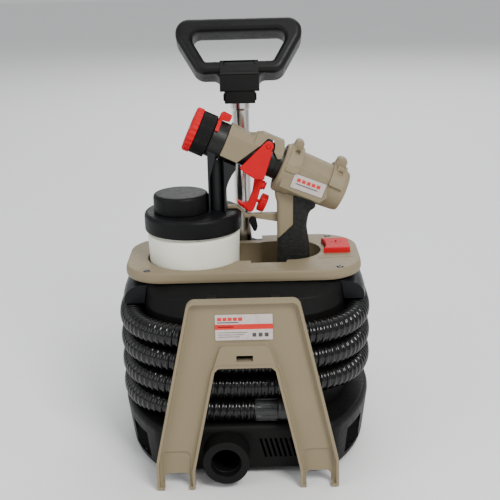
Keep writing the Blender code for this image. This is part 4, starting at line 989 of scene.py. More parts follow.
def boss_outline(spread):
    """The raised middle over the arch, with round shoulders; spread makes it wider towards its root."""
    wide, top = 0.0345 + spread, 0.1660 + spread
    return rounded([(-wide, 0.1380, 0), (wide, 0.1380, 0), (wide - 0.0095, top, 0.0070),
                    (0.0095 - wide, top, 0.0070)], 10)


def make_bracket():
    corners = bracket_corners()
    bracket = add("front_stand_shell", prism(rounded(corners, 10), 0.0, BRACKET_DEPTH, "Y"), PAINT["tan"])
    pocket = [(rounded(shrunk(corners, BRACKET_LIP), 10), -0.01)]
    for k in range(9):
        t = math.pi / 2 * k / 8
        sunk = 1 - math.cos(t)
        shape = shrunk(bracket_corners(0.0070 * sunk), BRACKET_LIP + 0.0028 * sunk)
        pocket.append((rounded(shape, 10), BRACKET_POCKET - 0.0050 * (1 - math.sin(t))))
    combine(bracket, skin([[(x, y, z) for x, z in shape] for shape, y in pocket]))
    for side in (-1, 1):
        step = box_outline(*sorted((side * 0.0630, side * 0.0950)), 0.0040, 0.0430, 0.0060, 8)
        combine(bracket, prism(step, 0.0, BRACKET_POCKET + 0.0014, "Y"))
    boss = []
    for y, spread in ((0.0006, 0.0007), (0.0008, 0.0002), (0.0013, 0.0), (0.0040, 0.0003), (0.0062, 0.0012),
                      (0.0074, 0.0026), (0.0085, 0.0045)):
        boss.append([(x, y, z) for x, z in boss_outline(spread)])
    combine(bracket, skin(boss), "UNION")
    combine(bracket, prism(rounded([(-0.0320, 0.120, 0), (0.0320, 0.120, 0), (0.0320, 0.1417, 0.006),
                                    (-0.0320, 0.1417, 0.006)], 10), -0.01, 0.02, "Y"))
    combine(bracket, prism(box_outline(-0.009, 0.009, 0.1490, 0.1557, 0.0006, 3), -0.01, 0.03, "Y"))
    for side in (-1, 1):
        notch = box_outline(*sorted((side * 0.0650, side * 0.0925)), -0.02, 0.0165, 0.006, 8)
        combine(bracket, prism(notch, -0.01, 0.03, "Y"))
    bracket.data.transform(BRACKET)
    for side in (-1, 1):
        x0, x1 = sorted((side * 0.0414, side * 0.0500))
        y0, z0 = HINGE_Y, HINGE_Z
        block = rounded([(y0 - 0.0125, z0 - 0.0055, 0), (y0 + 0.0050, z0 - 0.0055, 0.004),
                         (y0 + 0.0050, z0 + 0.0055, 0.004), (y0 - 0.0125, z0 + 0.0055, 0)])
        combine(bracket, prism(block, x0, x1, "X"), "UNION")
        p0, p1 = sorted((side * 0.0330, side * 0.0450))
        combine(bracket, rod(0.0025, p0, p1, "X", (y0, z0), 32), "UNION")
    finish_edges(bracket, 0.0007, 3, 34)
    place(bracket, "front_stand", "tan_plastic", "front_bracket")


def label(name, body, slot, node, half_x, half_z, thickness, matrix, marks):
    """A printed film: a plate with slightly raised coloured marks, drawn in the plate's own plane."""
    plate = prism(box_outline(-half_x, half_x, -half_z, half_z, 0.0012, 6), -thickness, 0.0, "Y")
    piece = add(name, moved(plate, matrix), PAINT["paper"])
    finish_edges(piece, 0.0001, 1)
    place(piece, body, slot, node)
    rise = 0.00005
    for paint in sorted({mark[0] for mark in marks}):
        points, faces = [], []
        for _, x0, x1, z0, z1 in (mark for mark in marks if mark[0] == paint):
            more, sides = moved(box(x0, x1, -thickness - rise, -thickness + rise, z0, z1), matrix)
            faces += [tuple(i + len(points) for i in side) for side in sides]
            points += more
        print_layer = add(f"{name}_{paint}", (points, faces), PAINT[paint])
        place(print_layer, body, slot)


def make_rating_plate():
    marks = [("band", -0.0311, 0.0311, -0.0022, 0.0036)]
    marks += [("red_ink", -0.0284 + 0.0056 * k, -0.0239 + 0.0056 * k, 0.0074, 0.0112) for k in range(5)]
    marks += [("ink", -0.0284, -0.0060, 0.0050, 0.0062)]
    marks += [("ink", -0.0280, 0.0035 - 0.004 * k, -0.0060 - 0.0024 * k,
               -0.0054 - 0.0024 * k) for k in range(3)]
    marks += [("ink", 0.0090 + 0.0066 * k, 0.0132 + 0.0066 * k, -0.0108, -0.0064) for k in range(3)]
    marks += [("ink", -0.0280, -0.0110, 0.0002, 0.0013)]
    y = BRACKET_POCKET - 0.0003
    matrix = BRACKET @ Matrix.Translation((0.0, y, 0.1857))
    label("rating_film", "front_stand", "paper", "rating_plate", 0.0310, 0.0144, 0.0008, matrix, marks)


# ---------------------------------------------------------------- handle

def make_tubes():
    lower = add("lower_chrome_tube", pipe(0.0128, 0.0112, 0.0200, 0.2120 - 0.0200, "Z", (0, TUBE_Y), 96),
                PAINT["chrome"])
    finish_edges(lower, 0)
    place(lower, "mid_tube", "chrome", "middle_tube")
    z = 0.0225
    profile = softened([(0.0094, z), (0.01075, z), (0.01075, z + 0.3588), (0.0118, z + 0.3608),
                        (0.0118, z + 0.3678), (0.0112, z + 0.3679), (0.01075, z + 0.3680),
                        (0.01075, z + 0.3830),
                        (0.0094, z + 0.3830)],
                       0.0004)
    upper = add("upper_chrome_tube", turned(profile, "Z", (0, TUBE_Y), 96, True), PAINT["chrome"])
    finish_edges(upper, 0)
    place(upper, "handle", "chrome", "handle_tube")
    guide = add("guide_sleeve", pipe(0.0150, 0.0132, 0.0165, 0.2110, "Z", (0, TUBE_Y), 72), PAINT["black"])
    finish_edges(guide, 0)
    place(guide, "base", "black_plastic", "guide_tube")
    profile = softened([(0.0153, 0.2071), (0.0205, 0.2071), (0.0205, 0.2090), (0.0180, 0.2115),
                        (0.0153, 0.2115)])
    clamp = add("sleeve_collar", turned(profile, "Z", (0, TUBE_Y), 72, True), PAINT["black"])
    finish_edges(clamp, 0)
    place(clamp, "base", "black_plastic", "tube_clamp")


def ring_outline():
    right = [(0.0505, 0.0, 0.016), (0.0770, 0.0483, 0.026), (0.0770, 0.0735, 0.0175)]
    return rounded(right + [(-x, z, r) for x, z, r in reversed(right)], 20)


def ring_opening(grow=0.0):
    corners = [(0.0410, 0.0160, 0.004), (0.0628, 0.0560, 0.010), (-0.0628, 0.0560, 0.010),
               (-0.0410, 0.0160, 0.004)]
    return rounded(shrunk(corners, -grow), 16)


def ring_mouth(steps=20, flare=0.0046):
    """The hand opening: it narrows to the middle of the ring's depth in one round bulge."""
    loops = [(flare + 0.0006, -0.0010)]
    for k in range(steps + 1):
        share = 2 * k / steps - 1
        loops.append((flare * abs(share) ** 6, RING_DEPTH * k / steps))
    loops.append((flare + 0.0006, RING_DEPTH + 0.0010))
    return skin([[(x, y, z) for x, z in ring_opening(grow)] for grow, y in loops])


def make_grip_ring():
    ring = add("pull_handle", prism(ring_outline(), 0.0, RING_DEPTH, "Y", 0.0075, 8), PAINT["grip"])
    combine(ring, ring_mouth())
    ring.data.transform(RING)
    neck = []
    for y, spread in ((0.0605, -0.0012), (0.0612, -0.0003), (0.0625, 0.0), (0.0970, 0.0), (0.0983, -0.0003),
                      (0.0990, -0.0012)):
        edge = [(0.0240 + spread, 0.4057 - spread), (0.0236 + spread, 0.4310 + spread)]
        neck.append([(x, y, z) for x, z in edge + [(-x, z) for x, z in reversed(edge)]])
    combine(ring, skin(neck), "UNION")
    pad = prism(box_outline(-0.0232, 0.0232, -0.0040, 0.0146, 0.0008, 3), -0.0008, 0.0060, "Y", 0.0005, 2)
    combine(ring, moved(pad, RING), "UNION")
    for side in (-1, 1):
        web = [(side * 0.0195, 0.0030), (side * 0.0195, -0.0087)]
        web += [(side * (0.0320 + 0.0088 * math.cos(t)), -0.0087 + 0.0088 * math.sin(t))
                for t in (math.pi * (1 - k / 16) for k in range(9))]
        web.append((side * 0.0320, 0.0030))
        combine(ring, moved(prism(web, 0.0052, RING_DEPTH - 0.0058, "Y"), RING), "UNION")
    combine(ring, prism(box_outline(-0.0186, 0.0186, 0.3906, 0.4070, 0.001, 3), 0.0655, 0.0945, "Y"), "UNION")
    combine(ring, prism(box_outline(-0.0165, 0.0165, 0.3910, 0.4070), 0.0628, 0.0660, "Y"), "UNION")
    bumps = box_outline(-0.0204, 0.0204, 0.3925, 0.4010, 0.0018, 5)
    combine(ring, prism(bumps, 0.074, 0.086, "Y"), "UNION")
    combine(ring, rod(0.0111, 0.36, 0.4062, "Z", (0, TUBE_Y), 64))
    combine(ring, moved(box(-0.0186, 0.0186, -0.01, 0.030, 0.0084, 0.0138), RING))
    finish_edges(ring, 0.0006, 3, 34)
    place(ring, "handle", "black_plastic", "grip_ring")
    button = prism(box_outline(-0.0182, 0.0182, 0.0088, 0.0134, 0.0010, 4), 0.0008, 0.0255, "Y", 0.0008, 3)
    piece = add("height_release", moved(button, RING), PAINT["dark"])
    finish_edges(piece, 0)
    place(piece, "handle_release", "dark_plastic", "release_button")


# ---------------------------------------------------------------- gun: barrel side

def scallops(count, depth, above):
    """A wave of shallow round flutes for radii above a value."""
    def wave(angle, radius, height):
        return radius - (depth * (0.5 - 0.5 * math.cos(count * angle)) ** 2 if radius > above else 0.0)
    return wave


def knurl(count, depth, above):
    """Straight knurling: narrow grooves round the rim."""
    def wave(angle, radius, height):
        return radius - (depth if radius > above and (angle * count / (2 * math.pi)) % 1.0 < 0.34 else 0.0)
    return wave


def dense(profile, above, pieces):
    """Splits the long sides of a profile where the radius is above a value."""
    result = []
    for a, b in zip(profile, profile[1:] + profile[:1]):
        steps = pieces if a[0] > above and b[0] > above and math.dist(a, b) > 0.002 else 1
        result += [tuple(Vector(a).lerp(Vector(b), i / steps)) for i in range(steps)]
    return result


def gun_piece(name, shape, paint, body, slot, nodes=(), width=0.0, limit=38, segments=2):
    piece = add(name, moved(shape, GUN), PAINT[paint])
    finish_edges(piece, width, segments, limit)
    return place(piece, body, slot, *nodes)


def make_spray_head():
    ring = softened([(0.0203, -0.0266), (0.0240, -0.0264), (0.0258, -0.0256), (0.0265, -0.0240),
                     (0.0265, -0.0180),
                     (0.0262, -0.0176), (0.0237, -0.0176), (0.0237, -0.0230), (0.0203, -0.0233)], 0.0005)
    gun_piece("air_cap_nut", turned(dense(ring, 0.0255, 3), "X", count=192, ring=True,
                                    wave=scallops(24, 0.0009, 0.0256)),
              "red", "spray_cap", "red_plastic", ["air_cap_ring"])
    dish = softened([(0.0032, -0.0262), (0.0090, -0.0262), (0.0120, -0.0246), (0.0197, -0.0246),
                     (0.0197, -0.0232), (0.0230, -0.0232), (0.0230, -0.0190), (0.0110, -0.0190),
                     (0.0075, -0.0222), (0.0032, -0.0235)], 0.0004)
    cap = add("air_cap_disc", moved(turned(dish, "X", count=96, ring=True), GUN), PAINT["black"])
    for side in (-1, 1):
        horn = [(side * 0.0110, -0.0022), (side * 0.0180, -0.0034), (side * 0.0180, 0.0034),
                (side * 0.0110, 0.0022)]
        combine(cap, moved(prism(horn, -0.0264, -0.0240, "X", 0.0005, 2), GUN), "UNION")
    finish_edges(cap, 0.0002, 2)
    place(cap, "spray_cap", "black_plastic", "air_cap")
    collar = softened([(0.0185, -0.0173), (0.0250, -0.0173), (0.0254, -0.0168), (0.0254, -0.0010),
                       (0.0249, -0.0003), (0.0120, -0.0003), (0.0120, -0.0030), (0.0185, -0.0060)], 0.0004)
    gun_piece("barrel_nut", turned(dense(collar, 0.0251, 4), "X", count=504, ring=True,
                                   wave=scallops(72, 0.0006, 0.0251)),
              "black", "union_nut", "black_plastic", ["nozzle_collar"])
    nozzle = softened([(0.0014, -0.0264), (0.0024, -0.0264), (0.0028, -0.0232), (0.0060, -0.0190),
                       (0.0060, -0.0120), (0.0095, -0.0120), (0.0095, 0.0060), (0.0014, 0.0060)], 0.0003)
    gun_piece("fluid_tip", turned(nozzle, "X", count=64, ring=True), "steel", "gun", "steel",
              ["fluid_nozzle"])


def make_barrel():
    profile = softened([(0.0098, 0.0003), (0.0222, 0.0003), (0.0225, 0.0008), (0.0225, 0.0165),
                        (0.0165, 0.0165), (0.0165, 0.0700), (0.0165, 0.0885), (0.0098, 0.0885)], 0.0005)
    barrel = add("barrel_body", turned(profile, "X", count=96, ring=True), PAINT["satin"])
    sleeve = [(0.0120, 0.0705), (0.0195, 0.0705), (0.0195, 0.0800), (0.0190, 0.0803), (0.0190, 0.0812),
              (0.0195, 0.0815), (0.0195, 0.0882), (0.0120, 0.0882)]
    combine(barrel, turned(sleeve, "X", (0, 0.0035), 90, True), "UNION")
    px, pz = TRIGGER_PIVOT
    combine(barrel, box(px - 0.0042, px + 0.0042, -0.0195, 0.0195, 0.0100, pz + 0.0040), "UNION")
    combine(barrel, rod(0.0098, 0.0, 0.1000, "X", (0, 0), 66))
    combine(barrel, rod(0.0027, -0.03, 0.03, "Y", (px, pz), 32))
    barrel.data.transform(GUN)
    finish_edges(barrel, 0.0003, 2)
    place(barrel, "gun", "black_plastic", "gun_barrel")


def make_pattern_lever():
    start, sweep = math.radians(32), math.radians(116)
    band = circle(0.0250, 49, start=start, sweep=sweep)
    band += circle(0.0229, 49, start=start + sweep, sweep=-sweep)
    lever = add("fan_shape_lever", prism(band, 0.0006, 0.0048, "X"), PAINT["red"])
    tab = rounded([(0.0006, 0.0234, 0), (0.0132, 0.0254, 0.001), (0.0138, 0.0322, 0.0012),
                   (0.0030, 0.0328, 0.0012), (0.0006, 0.0300, 0.001)], 5)
    combine(lever, prism(tab, -0.0066, 0.0066, "Y", 0.0008, 3), "UNION")
    lever.data.transform(GUN)
    finish_edges(lever, 0.0004, 2)
    place(lever, "fan_lever", "red_plastic", "pattern_lever")


def cover_corners():
    return [(0.0170, 0.0246, 0.0008), (0.0415, 0.0214, 0.004), (0.0544, 0.0300, 0.003),
            (0.0806, 0.0302, 0.0016), (0.0834, 0.0240, 0.002), (0.0842, 0.0125, 0.0012),
            (0.0798, 0.0105, 0.0012), (0.0730, 0.0165, 0.003), (0.0716, 0.0235, 0.003),
            (0.0680, 0.0274, 0.002), (0.0610, 0.0268, 0.003),
            (0.0385, -0.0122, 0.001), (0.0170, -0.0118, 0.0008)]


def make_front_cover():
    cover = add("barrel_cover", prism(cover_corners(), -0.0215, 0.0215, "Y", 0.0012, 3), PAINT["tan"])
    for side in (-1, 1):
        for u0, u1, height in ((0.0100, 0.0480, 0.0262), (0.0480, 0.0900, 0.0312)):
            slope = [(side * 0.0055, height), (side * 0.0260, height), (side * 0.0260, 0.0120)]
            combine(cover, prism(slope, u0, u1, "X"))
        mark = [(0.0225, 0.0058), (0.0285, 0.0058), (0.0285, 0.0066), (0.0237, 0.0098), (0.0232, 0.0093),
                (0.0262, 0.0066), (0.0225, 0.0066)]
        low, high = sorted((side * 0.0213, side * 0.0230))
        combine(cover, prism(mark, low, high, "Y"))
    combine(cover, rod(0.0168, 0.0, 0.1, "X", (0, 0), 72))
    combine(cover, rod(0.0198, 0.0702, 0.1, "X", (0, 0.0035), 72))
    cover.data.transform(GUN)
    finish_edges(cover, 0.0006, 3, 28)
    place(cover, "gun", "tan_plastic", "front_cover")


def make_trigger():
    px, pz = TRIGGER_PIVOT
    ear = rounded([(0.0435, -0.0157, 0.001), (0.0500, -0.0187, 0.002), (0.0655, -0.0211, 0.002),
                   (0.0752, -0.0173, 0.001), (0.0709, 0.0181, 0.001)], 5)
    ear += [(px + x, pz + z) for x, z in circle(0.0060, 21, start=0.3, sweep=2.6)]
    trigger = add("trigger_blade", prism(ear, -0.0226, 0.0226, "Y", 0.0010, 3), PAINT["red"])
    slot = [(px - 0.03, pz - 0.0378), (px + 0.02, pz - 0.0378), (px + 0.02, pz + 0.02),
            (px - 0.03, pz + 0.02)]
    combine(trigger, prism(slot, -0.0201, 0.0201, "Y"))
    stem = rounded([(0.0647, -0.0182, 0), (0.0752, -0.0180, 0), (0.0772, -0.0276, 0.002),
                    (0.0804, -0.0506, 0.003), (0.0808, -0.0600, 0.002), (0.0790, -0.0628, 0.001),
                    (0.0762, -0.0636, 0.001), (0.0620, -0.0606, 0.003), (0.0582, -0.0572, 0.0008),
                    (0.0600, -0.0566, 0.0008), (0.0660, -0.0570, 0.003), (0.0712, -0.0542, 0.003),
                    (0.0704, -0.0400, 0.004),
                    (0.0668, -0.0266, 0.003)], 5)
    combine(trigger, prism(stem, -0.0055, 0.0055, "Y", 0.0016, 4), "UNION")
    boss = turned([(0.0052, 0.0765), (0.0055, 0.0770), (0.0055, 0.0800), (0.0040, 0.0803), (0.0040, 0.0812),
                   (0.0052, 0.0815), (0.0050, 0.0822)], "X", (0, -0.0285), 48)
    combine(trigger, boss, "UNION")
    combine(trigger, rod(0.0027, -0.03, 0.03, "Y", (px, pz), 32))
    combine(trigger, rod(0.0024, 0.0730, 0.12, "X", (0, -0.0480), 24))
    trigger.data.transform(GUN)
    finish_edges(trigger, 0.0004, 2)
    place(trigger, "trigger_lever", "red_plastic", "trigger")
    pin = softened([(0.0001, -0.0236), (0.0016, -0.0236), (0.0024, -0.0230), (0.0024, 0.0230),
                    (0.0016, 0.0236), (0.0001, 0.0236)], 0.0003)
    gun_piece("trigger_axle", turned(pin, "Y", (px, pz), 40), "red", "gun", "red_plastic", ["trigger_pin"])
    wheel = softened([(0.0020, 0.0735), (0.0020, 0.0830), (0.0100, 0.0830), (0.0108, 0.0838),
                      (0.0108, 0.0902),
                      (0.0100, 0.0912), (0.0060, 0.0912), (0.0055, 0.0900), (0.0001, 0.0900)], 0.0003)
    gun_piece("flow_adjuster", turned([(0.0001, 0.0735)] + dense(wheel, 0.0105, 3), "X", (0, -0.0480), 160,
                                      wave=knurl(32, 0.0009, 0.0104)),
              "red", "flow_knob", "red_plastic", ["flow_wheel"])
    needle = [(0.0002, -0.0268), (0.0011, -0.0225), (0.0011, 0.0640)]
    gun_piece("needle_rod", turned(needle, "X", count=24), "steel", "fluid_needle", "steel", ["needle"])


def make_rear_housing():
    outside = [(0.0868, 0.0240, 0.0020), (0.0871, 0.0262, 0.0012), (0.0880, 0.0278, 0.0006),
               (0.0892, 0.0287, 0.0004), *REAR_BODY, (0.1630, 0.0244, 0.0017), (0.1655, 0.0238, 0.0016),
               (0.1675, 0.0228, 0.0012)]
    inside = [(0.1675, 0.0203, 0.0005), (0.1640, 0.0203, 0.0005), (0.1600, 0.0222, 0.0012),
              (0.1062, 0.0246, 0.0),
              (0.0910, 0.0256, 0.0003), (0.0895, 0.0215, 0.0005), (0.0868, 0.0215, 0.0005)]
    rear = add("motor_side_shell", lofted(outside + inside, 128, True), PAINT["tan"])
    for outer, inner, height, start, sweep, u0, u1 in ((0.0306, 0.0280, 0.0003, 8, 164, 0.0915, 0.1068),
                                                       (0.0288, 0.0248, 0.0012, 14, 152, 0.1450, 0.1615)):
        combine(rear, prism(arc_band(outer, inner, height, start, sweep), u0, u1, "X"), "UNION")
    panel = [(0.0930, -0.0165, 0.002), (0.0920, 0.0085, 0.002), (0.1060, 0.0160, 0.003),
             (0.1410, 0.0130, 0.003), (0.1500, -0.0070, 0.003), (0.1440, -0.0165, 0.002)]
    combine(rear, prism(panel, -0.0285, -0.0200, "Y", 0.0012, 3), "UNION")
    combine(rear, rod(0.0200, 0.08, 0.095, "X", (0, 0.0035), 70))
    for u0, u1, top in ((0.0930, 0.1035, 0.0390), (0.1460, 0.1580, 0.0395)):
        lug = [(u0 - 0.001, 0.0270, 0), (u1 + 0.001, 0.0270, 0), (u1 - 0.0006, top, 0.0042),
               (u0 + 0.0006, top, 0.0042)]
        combine(rear, prism(lug, -0.0074, 0.0075, "Y", 0.0018, 5, 9), "UNION")
        for side in (-1, 1):
            low, high = sorted((side * 0.0050, side * 0.0171))
            rib = [(u0 + 0.0015, 0.0220, 0), (u1 - 0.0015, 0.0220, 0), (u1 - 0.0025, top - 0.0090, 0.001),
                   (u0 + 0.0025, top - 0.0090, 0.001)]
            combine(rear, prism(rib, low, high, "Y", 0.0010, 3), "UNION")
    for u0, width, angle in ((0.0985, 0.0052, 58), (0.0985, 0.0052, 122), (0.1535, 0.0060, 52),
                             (0.1535, 0.0060, 128)):
        spin = Matrix.Rotation(math.radians(angle), 4, "X")
        dent = prism(box_outline(u0 - width / 2, u0 + width / 2, -0.0030, 0.0030, 0.001, 4), 0.0284, 0.0350)
        combine(rear, moved(dent, spin @ Matrix.Rotation(-math.pi / 2, 4, "X")))
    along = Matrix.Translation((0.1240, 0, -0.0021)) @ Matrix.Rotation(math.radians(-3), 4, "Y")
    combine(rear, moved(box(-0.0200, 0.0200, -0.05, -0.0277, -0.0089, 0.0089), along))
    rear.data.transform(GUN)
    finish_edges(rear, 0.0005, 2, 32)
    place(rear, "gun", "tan_plastic", "rear_housing")
    marks = [("red_ink", -0.0148 + 0.0060 * k, -0.0103 + 0.0060 * k, 0.0002, 0.0044) for k in range(5)]
    marks += [("ink", -0.0148, 0.0120, -0.0030, -0.0018)]
    matrix = GUN @ along @ Matrix.Translation((0, -0.0280, 0))
    label("gun_film", "gun", "paper", "gun_plate", 0.0195, 0.0084, 0.0004, matrix, marks)
    inlet = softened([(OUTLET_BORE, 0.1560), (0.0200, 0.1560), (0.0200, 0.1676), (0.0190, 0.1684),
                      (OUTLET_BORE, 0.1684)], 0.0005)
    gun_piece("hose_inlet", turned(inlet, "X", (0, 0.0005), 72, True), "black", "gun", "black_plastic",
              ["gun_inlet"])


# ---------------------------------------------------------------- gun: upright parts

def gun_cuts(piece, shapes):
    for shape in shapes:
        combine(piece, moved(shape, GUN))


def make_stem():
    x, y = STEM_XY
    foot = LID_TOP + 0.0003
    column = add("feed_column", rod(0.0070, foot, 0.352, "Z", (x, y), 72), PAINT["dark"])
    left = [(-0.0388, foot), (-0.0368, foot), (-0.0362, 0.3190), (-0.0290, 0.3440), (-0.0290, 0.3550),
            (-0.0386, 0.3550), (-0.0386, 0.3250)]
    curve = [(-0.0184 + 0.0124 * t ** 2.2, 0.2950 + 0.0330 * t) for t in (k / 10 for k in range(11))]
    right = [(-0.0206, foot), (-0.0180, foot)] + curve + [(-0.0060, 0.3440), (-0.0200, 0.3440),
                                                          (-0.0200, 0.3250)]
    combine(column, prism(left, -0.0190, 0.0190, "Y", 0.0008, 3), "UNION")
    combine(column, prism(right, -0.0190, 0.0190, "Y", 0.0008, 3), "UNION")
    combine(column, box(-0.0380, -0.0190, 0.0, 0.0030, foot, 0.3400), "UNION")
    gun_cuts(column, [rod(0.0228, -0.01, 0.0175, "X", (0, 0), 96),
                      box(0.0167, 0.10, -0.03, 0.03, -0.0168, 0.04),
                      box(-0.03, 0.0002, -0.03, 0.03, -0.04, 0.04)])
    finish_edges(column, 0.0004, 2)
    place(column, "gun", "black_plastic", "feed_stem")


def make_lid():
    profile = softened([(0.0520, LID_BOTTOM), (0.0560, LID_BOTTOM), (0.0570, LID_BOTTOM + 0.0008),
                        (LID_RADIUS, LID_BOTTOM + 0.0025), (LID_RADIUS, 0.2730), (0.0571, 0.2748),
                        (0.0562, 0.2763), (0.0548, 0.2772), (0.0530, LID_TOP), (0.0480, LID_TOP),
                        (0.0020, LID_TOP),
                        (0.0020, 0.2750), (0.0520, 0.2750)], 0.0008, 4)

    lid = add("jar_lid", turned(profile, centre=(CUP_X, 0), count=160, ring=True), PAINT["lid"])
    combine(lid, rod(0.0235, 0.26, 0.30, "Z", CAP_XY, 72))
    combine(lid, pipe(0.0285, 0.0235, 0.2760, 0.2900, "Z", CAP_XY, 72), "UNION")
    combine(lid, rod(0.0048, 0.26, 0.30, "Z", STEM_XY, 32))
    finish_edges(lid, 0.0003, 2)
    place(lid, "gun", "black_plastic", "cup_lid")


def make_cup():
    z = LID_TOP + 0.0003
    cap = softened([(0.0300, z), (0.0320, z), (CAP_RADIUS, z + 0.0008), (CAP_RADIUS, z + 0.0178),
                    (0.0320, z + 0.0195), (0.0311, z + 0.0208), (0.0296, z + 0.0215), (0.0280, z + 0.0217),
                    (0.0001, z + 0.0219), (0.0001, z + 0.0180), (0.0300, z + 0.0180)], 0.0007, 4)

    def facets(angle, radius, height):
        grooved = radius > CAP_RADIUS - 0.0002 and z + 0.001 < height < z + 0.0172
        return radius - (0.0007 * max(0.0, math.cos(6 * angle)) ** 24 if grooved else 0.0)

    piece = add("filler_lid", turned(dense(cap, CAP_RADIUS - 0.0005, 3), centre=CAP_XY, count=192,
                                     wave=facets), PAINT["lid"])
    finish_edges(piece, 0)
    place(piece, "cap", "black_plastic", "filler_cap")
    wall = [(0.0440, 0.1402), (0.0475, 0.1404), (0.0498, 0.1418), (0.0512, 0.1450), (0.0524, 0.1800),
            (0.0535, 0.2200), (0.0546, 0.2480), (0.0541, 0.2512), (0.0526, 0.2526), (0.0514, 0.2532),
            (0.0514, 0.2740), (0.0494, 0.2740), (0.0494, 0.2520), (0.0526, 0.2480), (0.0514, 0.2200),
            (0.0504, 0.1800), (0.0492, 0.1460), (0.0440, 0.1424)]

    def panels(angle, radius, height):
        outer = radius > 0.0505 and height < 0.2485
        middle = math.exp(-((height - 0.2000) / 0.036) ** 4)
        return radius - (0.0006 * middle * abs(math.sin(2 * angle + 0.4)) ** 14 if outer else 0.0)

    jar = add("paint_cup", turned(wall, centre=(CUP_X, 0), count=160, wave=panels), PAINT["jar"])
    finish_edges(jar, 0)
    place(jar, "jar", "jar_plastic", "paint_jar")
    tube = add("feed_pipe", pipe(0.0045, 0.0030, 0.1480, 0.2774, "Z", STEM_XY, 40), PAINT["jar"])
    finish_edges(tube, 0)
    place(tube, "gun", "jar_plastic", "suction_tube")


def handle_cuts():
    grown = [(u, radius + 0.0006, height) for u, radius, height in REAR_BODY]
    return [lofted([(0.05, *grown[0][1:])] + grown + [(0.22, *grown[-1][1:])]),
            box(0.03, 0.1, -0.05, 0.05, -0.0175, 0.05)]


def make_handle():
    block = [(0.0388, 0.3050, 0), (0.0388, 0.2930, 0.004), (0.0410, 0.2851, 0.004), (0.0404, 0.1868, 0.0035),
             (0.0785, 0.1868, 0.0035), (0.0788, 0.2330, 0.030), (0.0752, 0.2580, 0.030),
             (0.0785, 0.2740, 0.010), (0.0860, 0.2790, 0.003), (0.0860, 0.3050, 0)]
    front = [(0.0, 0.2423), (0.0404, 0.2423), (0.0594, 0.2600), (0.0602, 0.3100), (0.0, 0.3100)]
    back = [(0.0, 0.1800), (0.1000, 0.1800), (0.1000, 0.3100), (0.0606, 0.3100), (0.0598, 0.2596),
            (0.0404, 0.2417), (0.0, 0.2417)]
    handle = add("handle_shell", prism(block, -0.0150, 0.0150, "Y", 0.0050, 6), PAINT["tan"])
    combine(handle, prism(front, -0.05, 0.05, "Y"), "INTERSECT")
    strut = [(0.0420, 0.2708, 0), (0.0420, 0.2600, 0), (0.0400, 0.2610, 0.002), (0.0182, 0.2650, 0.01),
             (0.0020, 0.2668, 0.004), (-0.0010, 0.2742, 0.003), (-0.0060, 0.2781, 0.002),
             (-0.0176, 0.2781, 0.0005),
             (-0.0176, 0.2818, 0.0005), (-0.0060, 0.2815, 0.004), (0.0040, 0.2708, 0.004)]
    combine(handle, prism(strut, -0.0045, 0.0045, "Y", 0.0008, 3), "UNION")
    gun_cuts(handle, handle_cuts())
    finish_edges(handle, 0.0004, 2)
    place(handle, "gun", "tan_plastic", "handle_frame")
    grip = add("grip_cover", prism(block, -0.0165, 0.0165, "Y", 0.0065, 7), PAINT["hide"])
    combine(grip, prism(back, -0.05, 0.05, "Y"), "INTERSECT")
    gun_cuts(grip, handle_cuts())
    finish_edges(grip, 0.0003, 2)
    place(grip, "gun", "black_plastic", "grip_sleeve")
    hub = softened([(0.0001, -0.0105), (0.0040, -0.0105), (0.0046, -0.0099), (0.0046, -0.0050),
                    (0.0001, -0.0050)], 0.0003)
    latch = add("clip_lever", turned(hub, "Y", count=48), PAINT["black"])
    tail = [(-0.0044, -0.001, 0), (0.0044, 0.001, 0), (0.0058, -0.0070, 0.002), (0.0042, -0.0128, 0.0025),
            (0.0008, -0.0128, 0.001), (-0.0012, -0.0080, 0.002)]
    combine(latch, prism(tail, -0.0100, -0.0055, "Y", 0.0008, 3), "UNION")
    latch.data.transform(Matrix.Translation((0.0120, 0, 0.2640)))
    finish_edges(latch, 0.0003, 2)
    place(latch, "latch", "dark_plastic", "strut_latch")


# ---------------------------------------------------------------- pieces inside, kept from the CAD

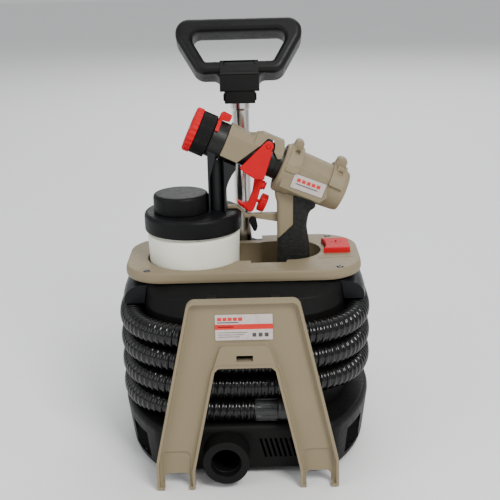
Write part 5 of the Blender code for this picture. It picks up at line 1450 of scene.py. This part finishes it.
def paint_inner_nodes():
    """Gives the CAD solids that stay visible, mostly inside, their materials."""
    inner = {"black": ("base_plate", "motor_mount"),
             "dark": ("fan_housing", "outlet_duct", "switch_body"),
             "copper": ("motor_stator",), "steel": ("motor_armature", "impeller")}
    for paint, names in inner.items():
        for name in names:
            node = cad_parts[name]
            for index in range(max(1, len(node.material_slots))):
                if node.material_slots:
                    node.material_slots[index].material = PAINT[paint]
                else:
                    node.data.materials.append(PAINT[paint])


# ---------------------------------------------------------------- stage

def make_stage():
    floor_mat = Paint("floor")
    floor_mat.link("Base Color", floor_mat.mix(floor_mat.noise(3, 3), (0.88, 0.88, 0.88), (0.90, 0.90, 0.90)))
    floor_mat.set(Roughness=0.75)
    floor = add("floor", ([(-8, -8, -0.0004), (8, -8, -0.0004), (8, 8, -0.0004), (-8, 8, -0.0004)],
                          [(0, 1, 2, 3)]),
                floor_mat.material)
    world = bpy.data.worlds.new("studio")
    bpy.context.scene.world = world
    world.use_nodes = True
    world.node_tree.nodes["Background"].inputs["Color"].default_value = (0.97, 0.98, 1.0, 1.0)
    world.node_tree.nodes["Background"].inputs["Strength"].default_value = 0.58
    for name, place_at, size, power, colour in (
            ("key_light", (0.85, -1.45, 1.8), 0.8, 44, (1.0, 0.99, 0.96)),
            ("fill_light", (-1.6, -1.2, 1.1), 1.2, 12, (0.98, 0.99, 1.0)),
            ("top_light", (0.1, 0.5, 2.4), 1.8, 9, (0.95, 0.98, 1.0)),
            ("back_light", (0.4, 2.6, 2.2), 2.2, 50, (1.0, 1.0, 1.0))):
        data = bpy.data.lights.new(name, "AREA")
        data.shape, data.size, data.energy, data.color = "SQUARE", size, power, colour
        light = bpy.data.objects.new(name, data)
        bpy.context.scene.collection.objects.link(light)
        light.location = place_at
        light.rotation_euler = (Vector((0, 0, 0.22)) - Vector(place_at)).to_track_quat("-Z", "Y").to_euler()


make_camera()
make_air_hose()
make_stage()
make_base()
make_intake_shade_sheets()
make_outlet()
make_feet()
make_wheels()
make_axle()
make_gland()
make_drum()
make_shoulder()
make_tray()
make_screws()
make_power_button()
make_bracket()
make_rating_plate()
make_tubes()
make_grip_ring()
make_spray_head()
make_barrel()
make_pattern_lever()
make_front_cover()
make_trigger()
make_rear_housing()
make_stem()
make_lid()
make_cup()
make_handle()
paint_inner_nodes()
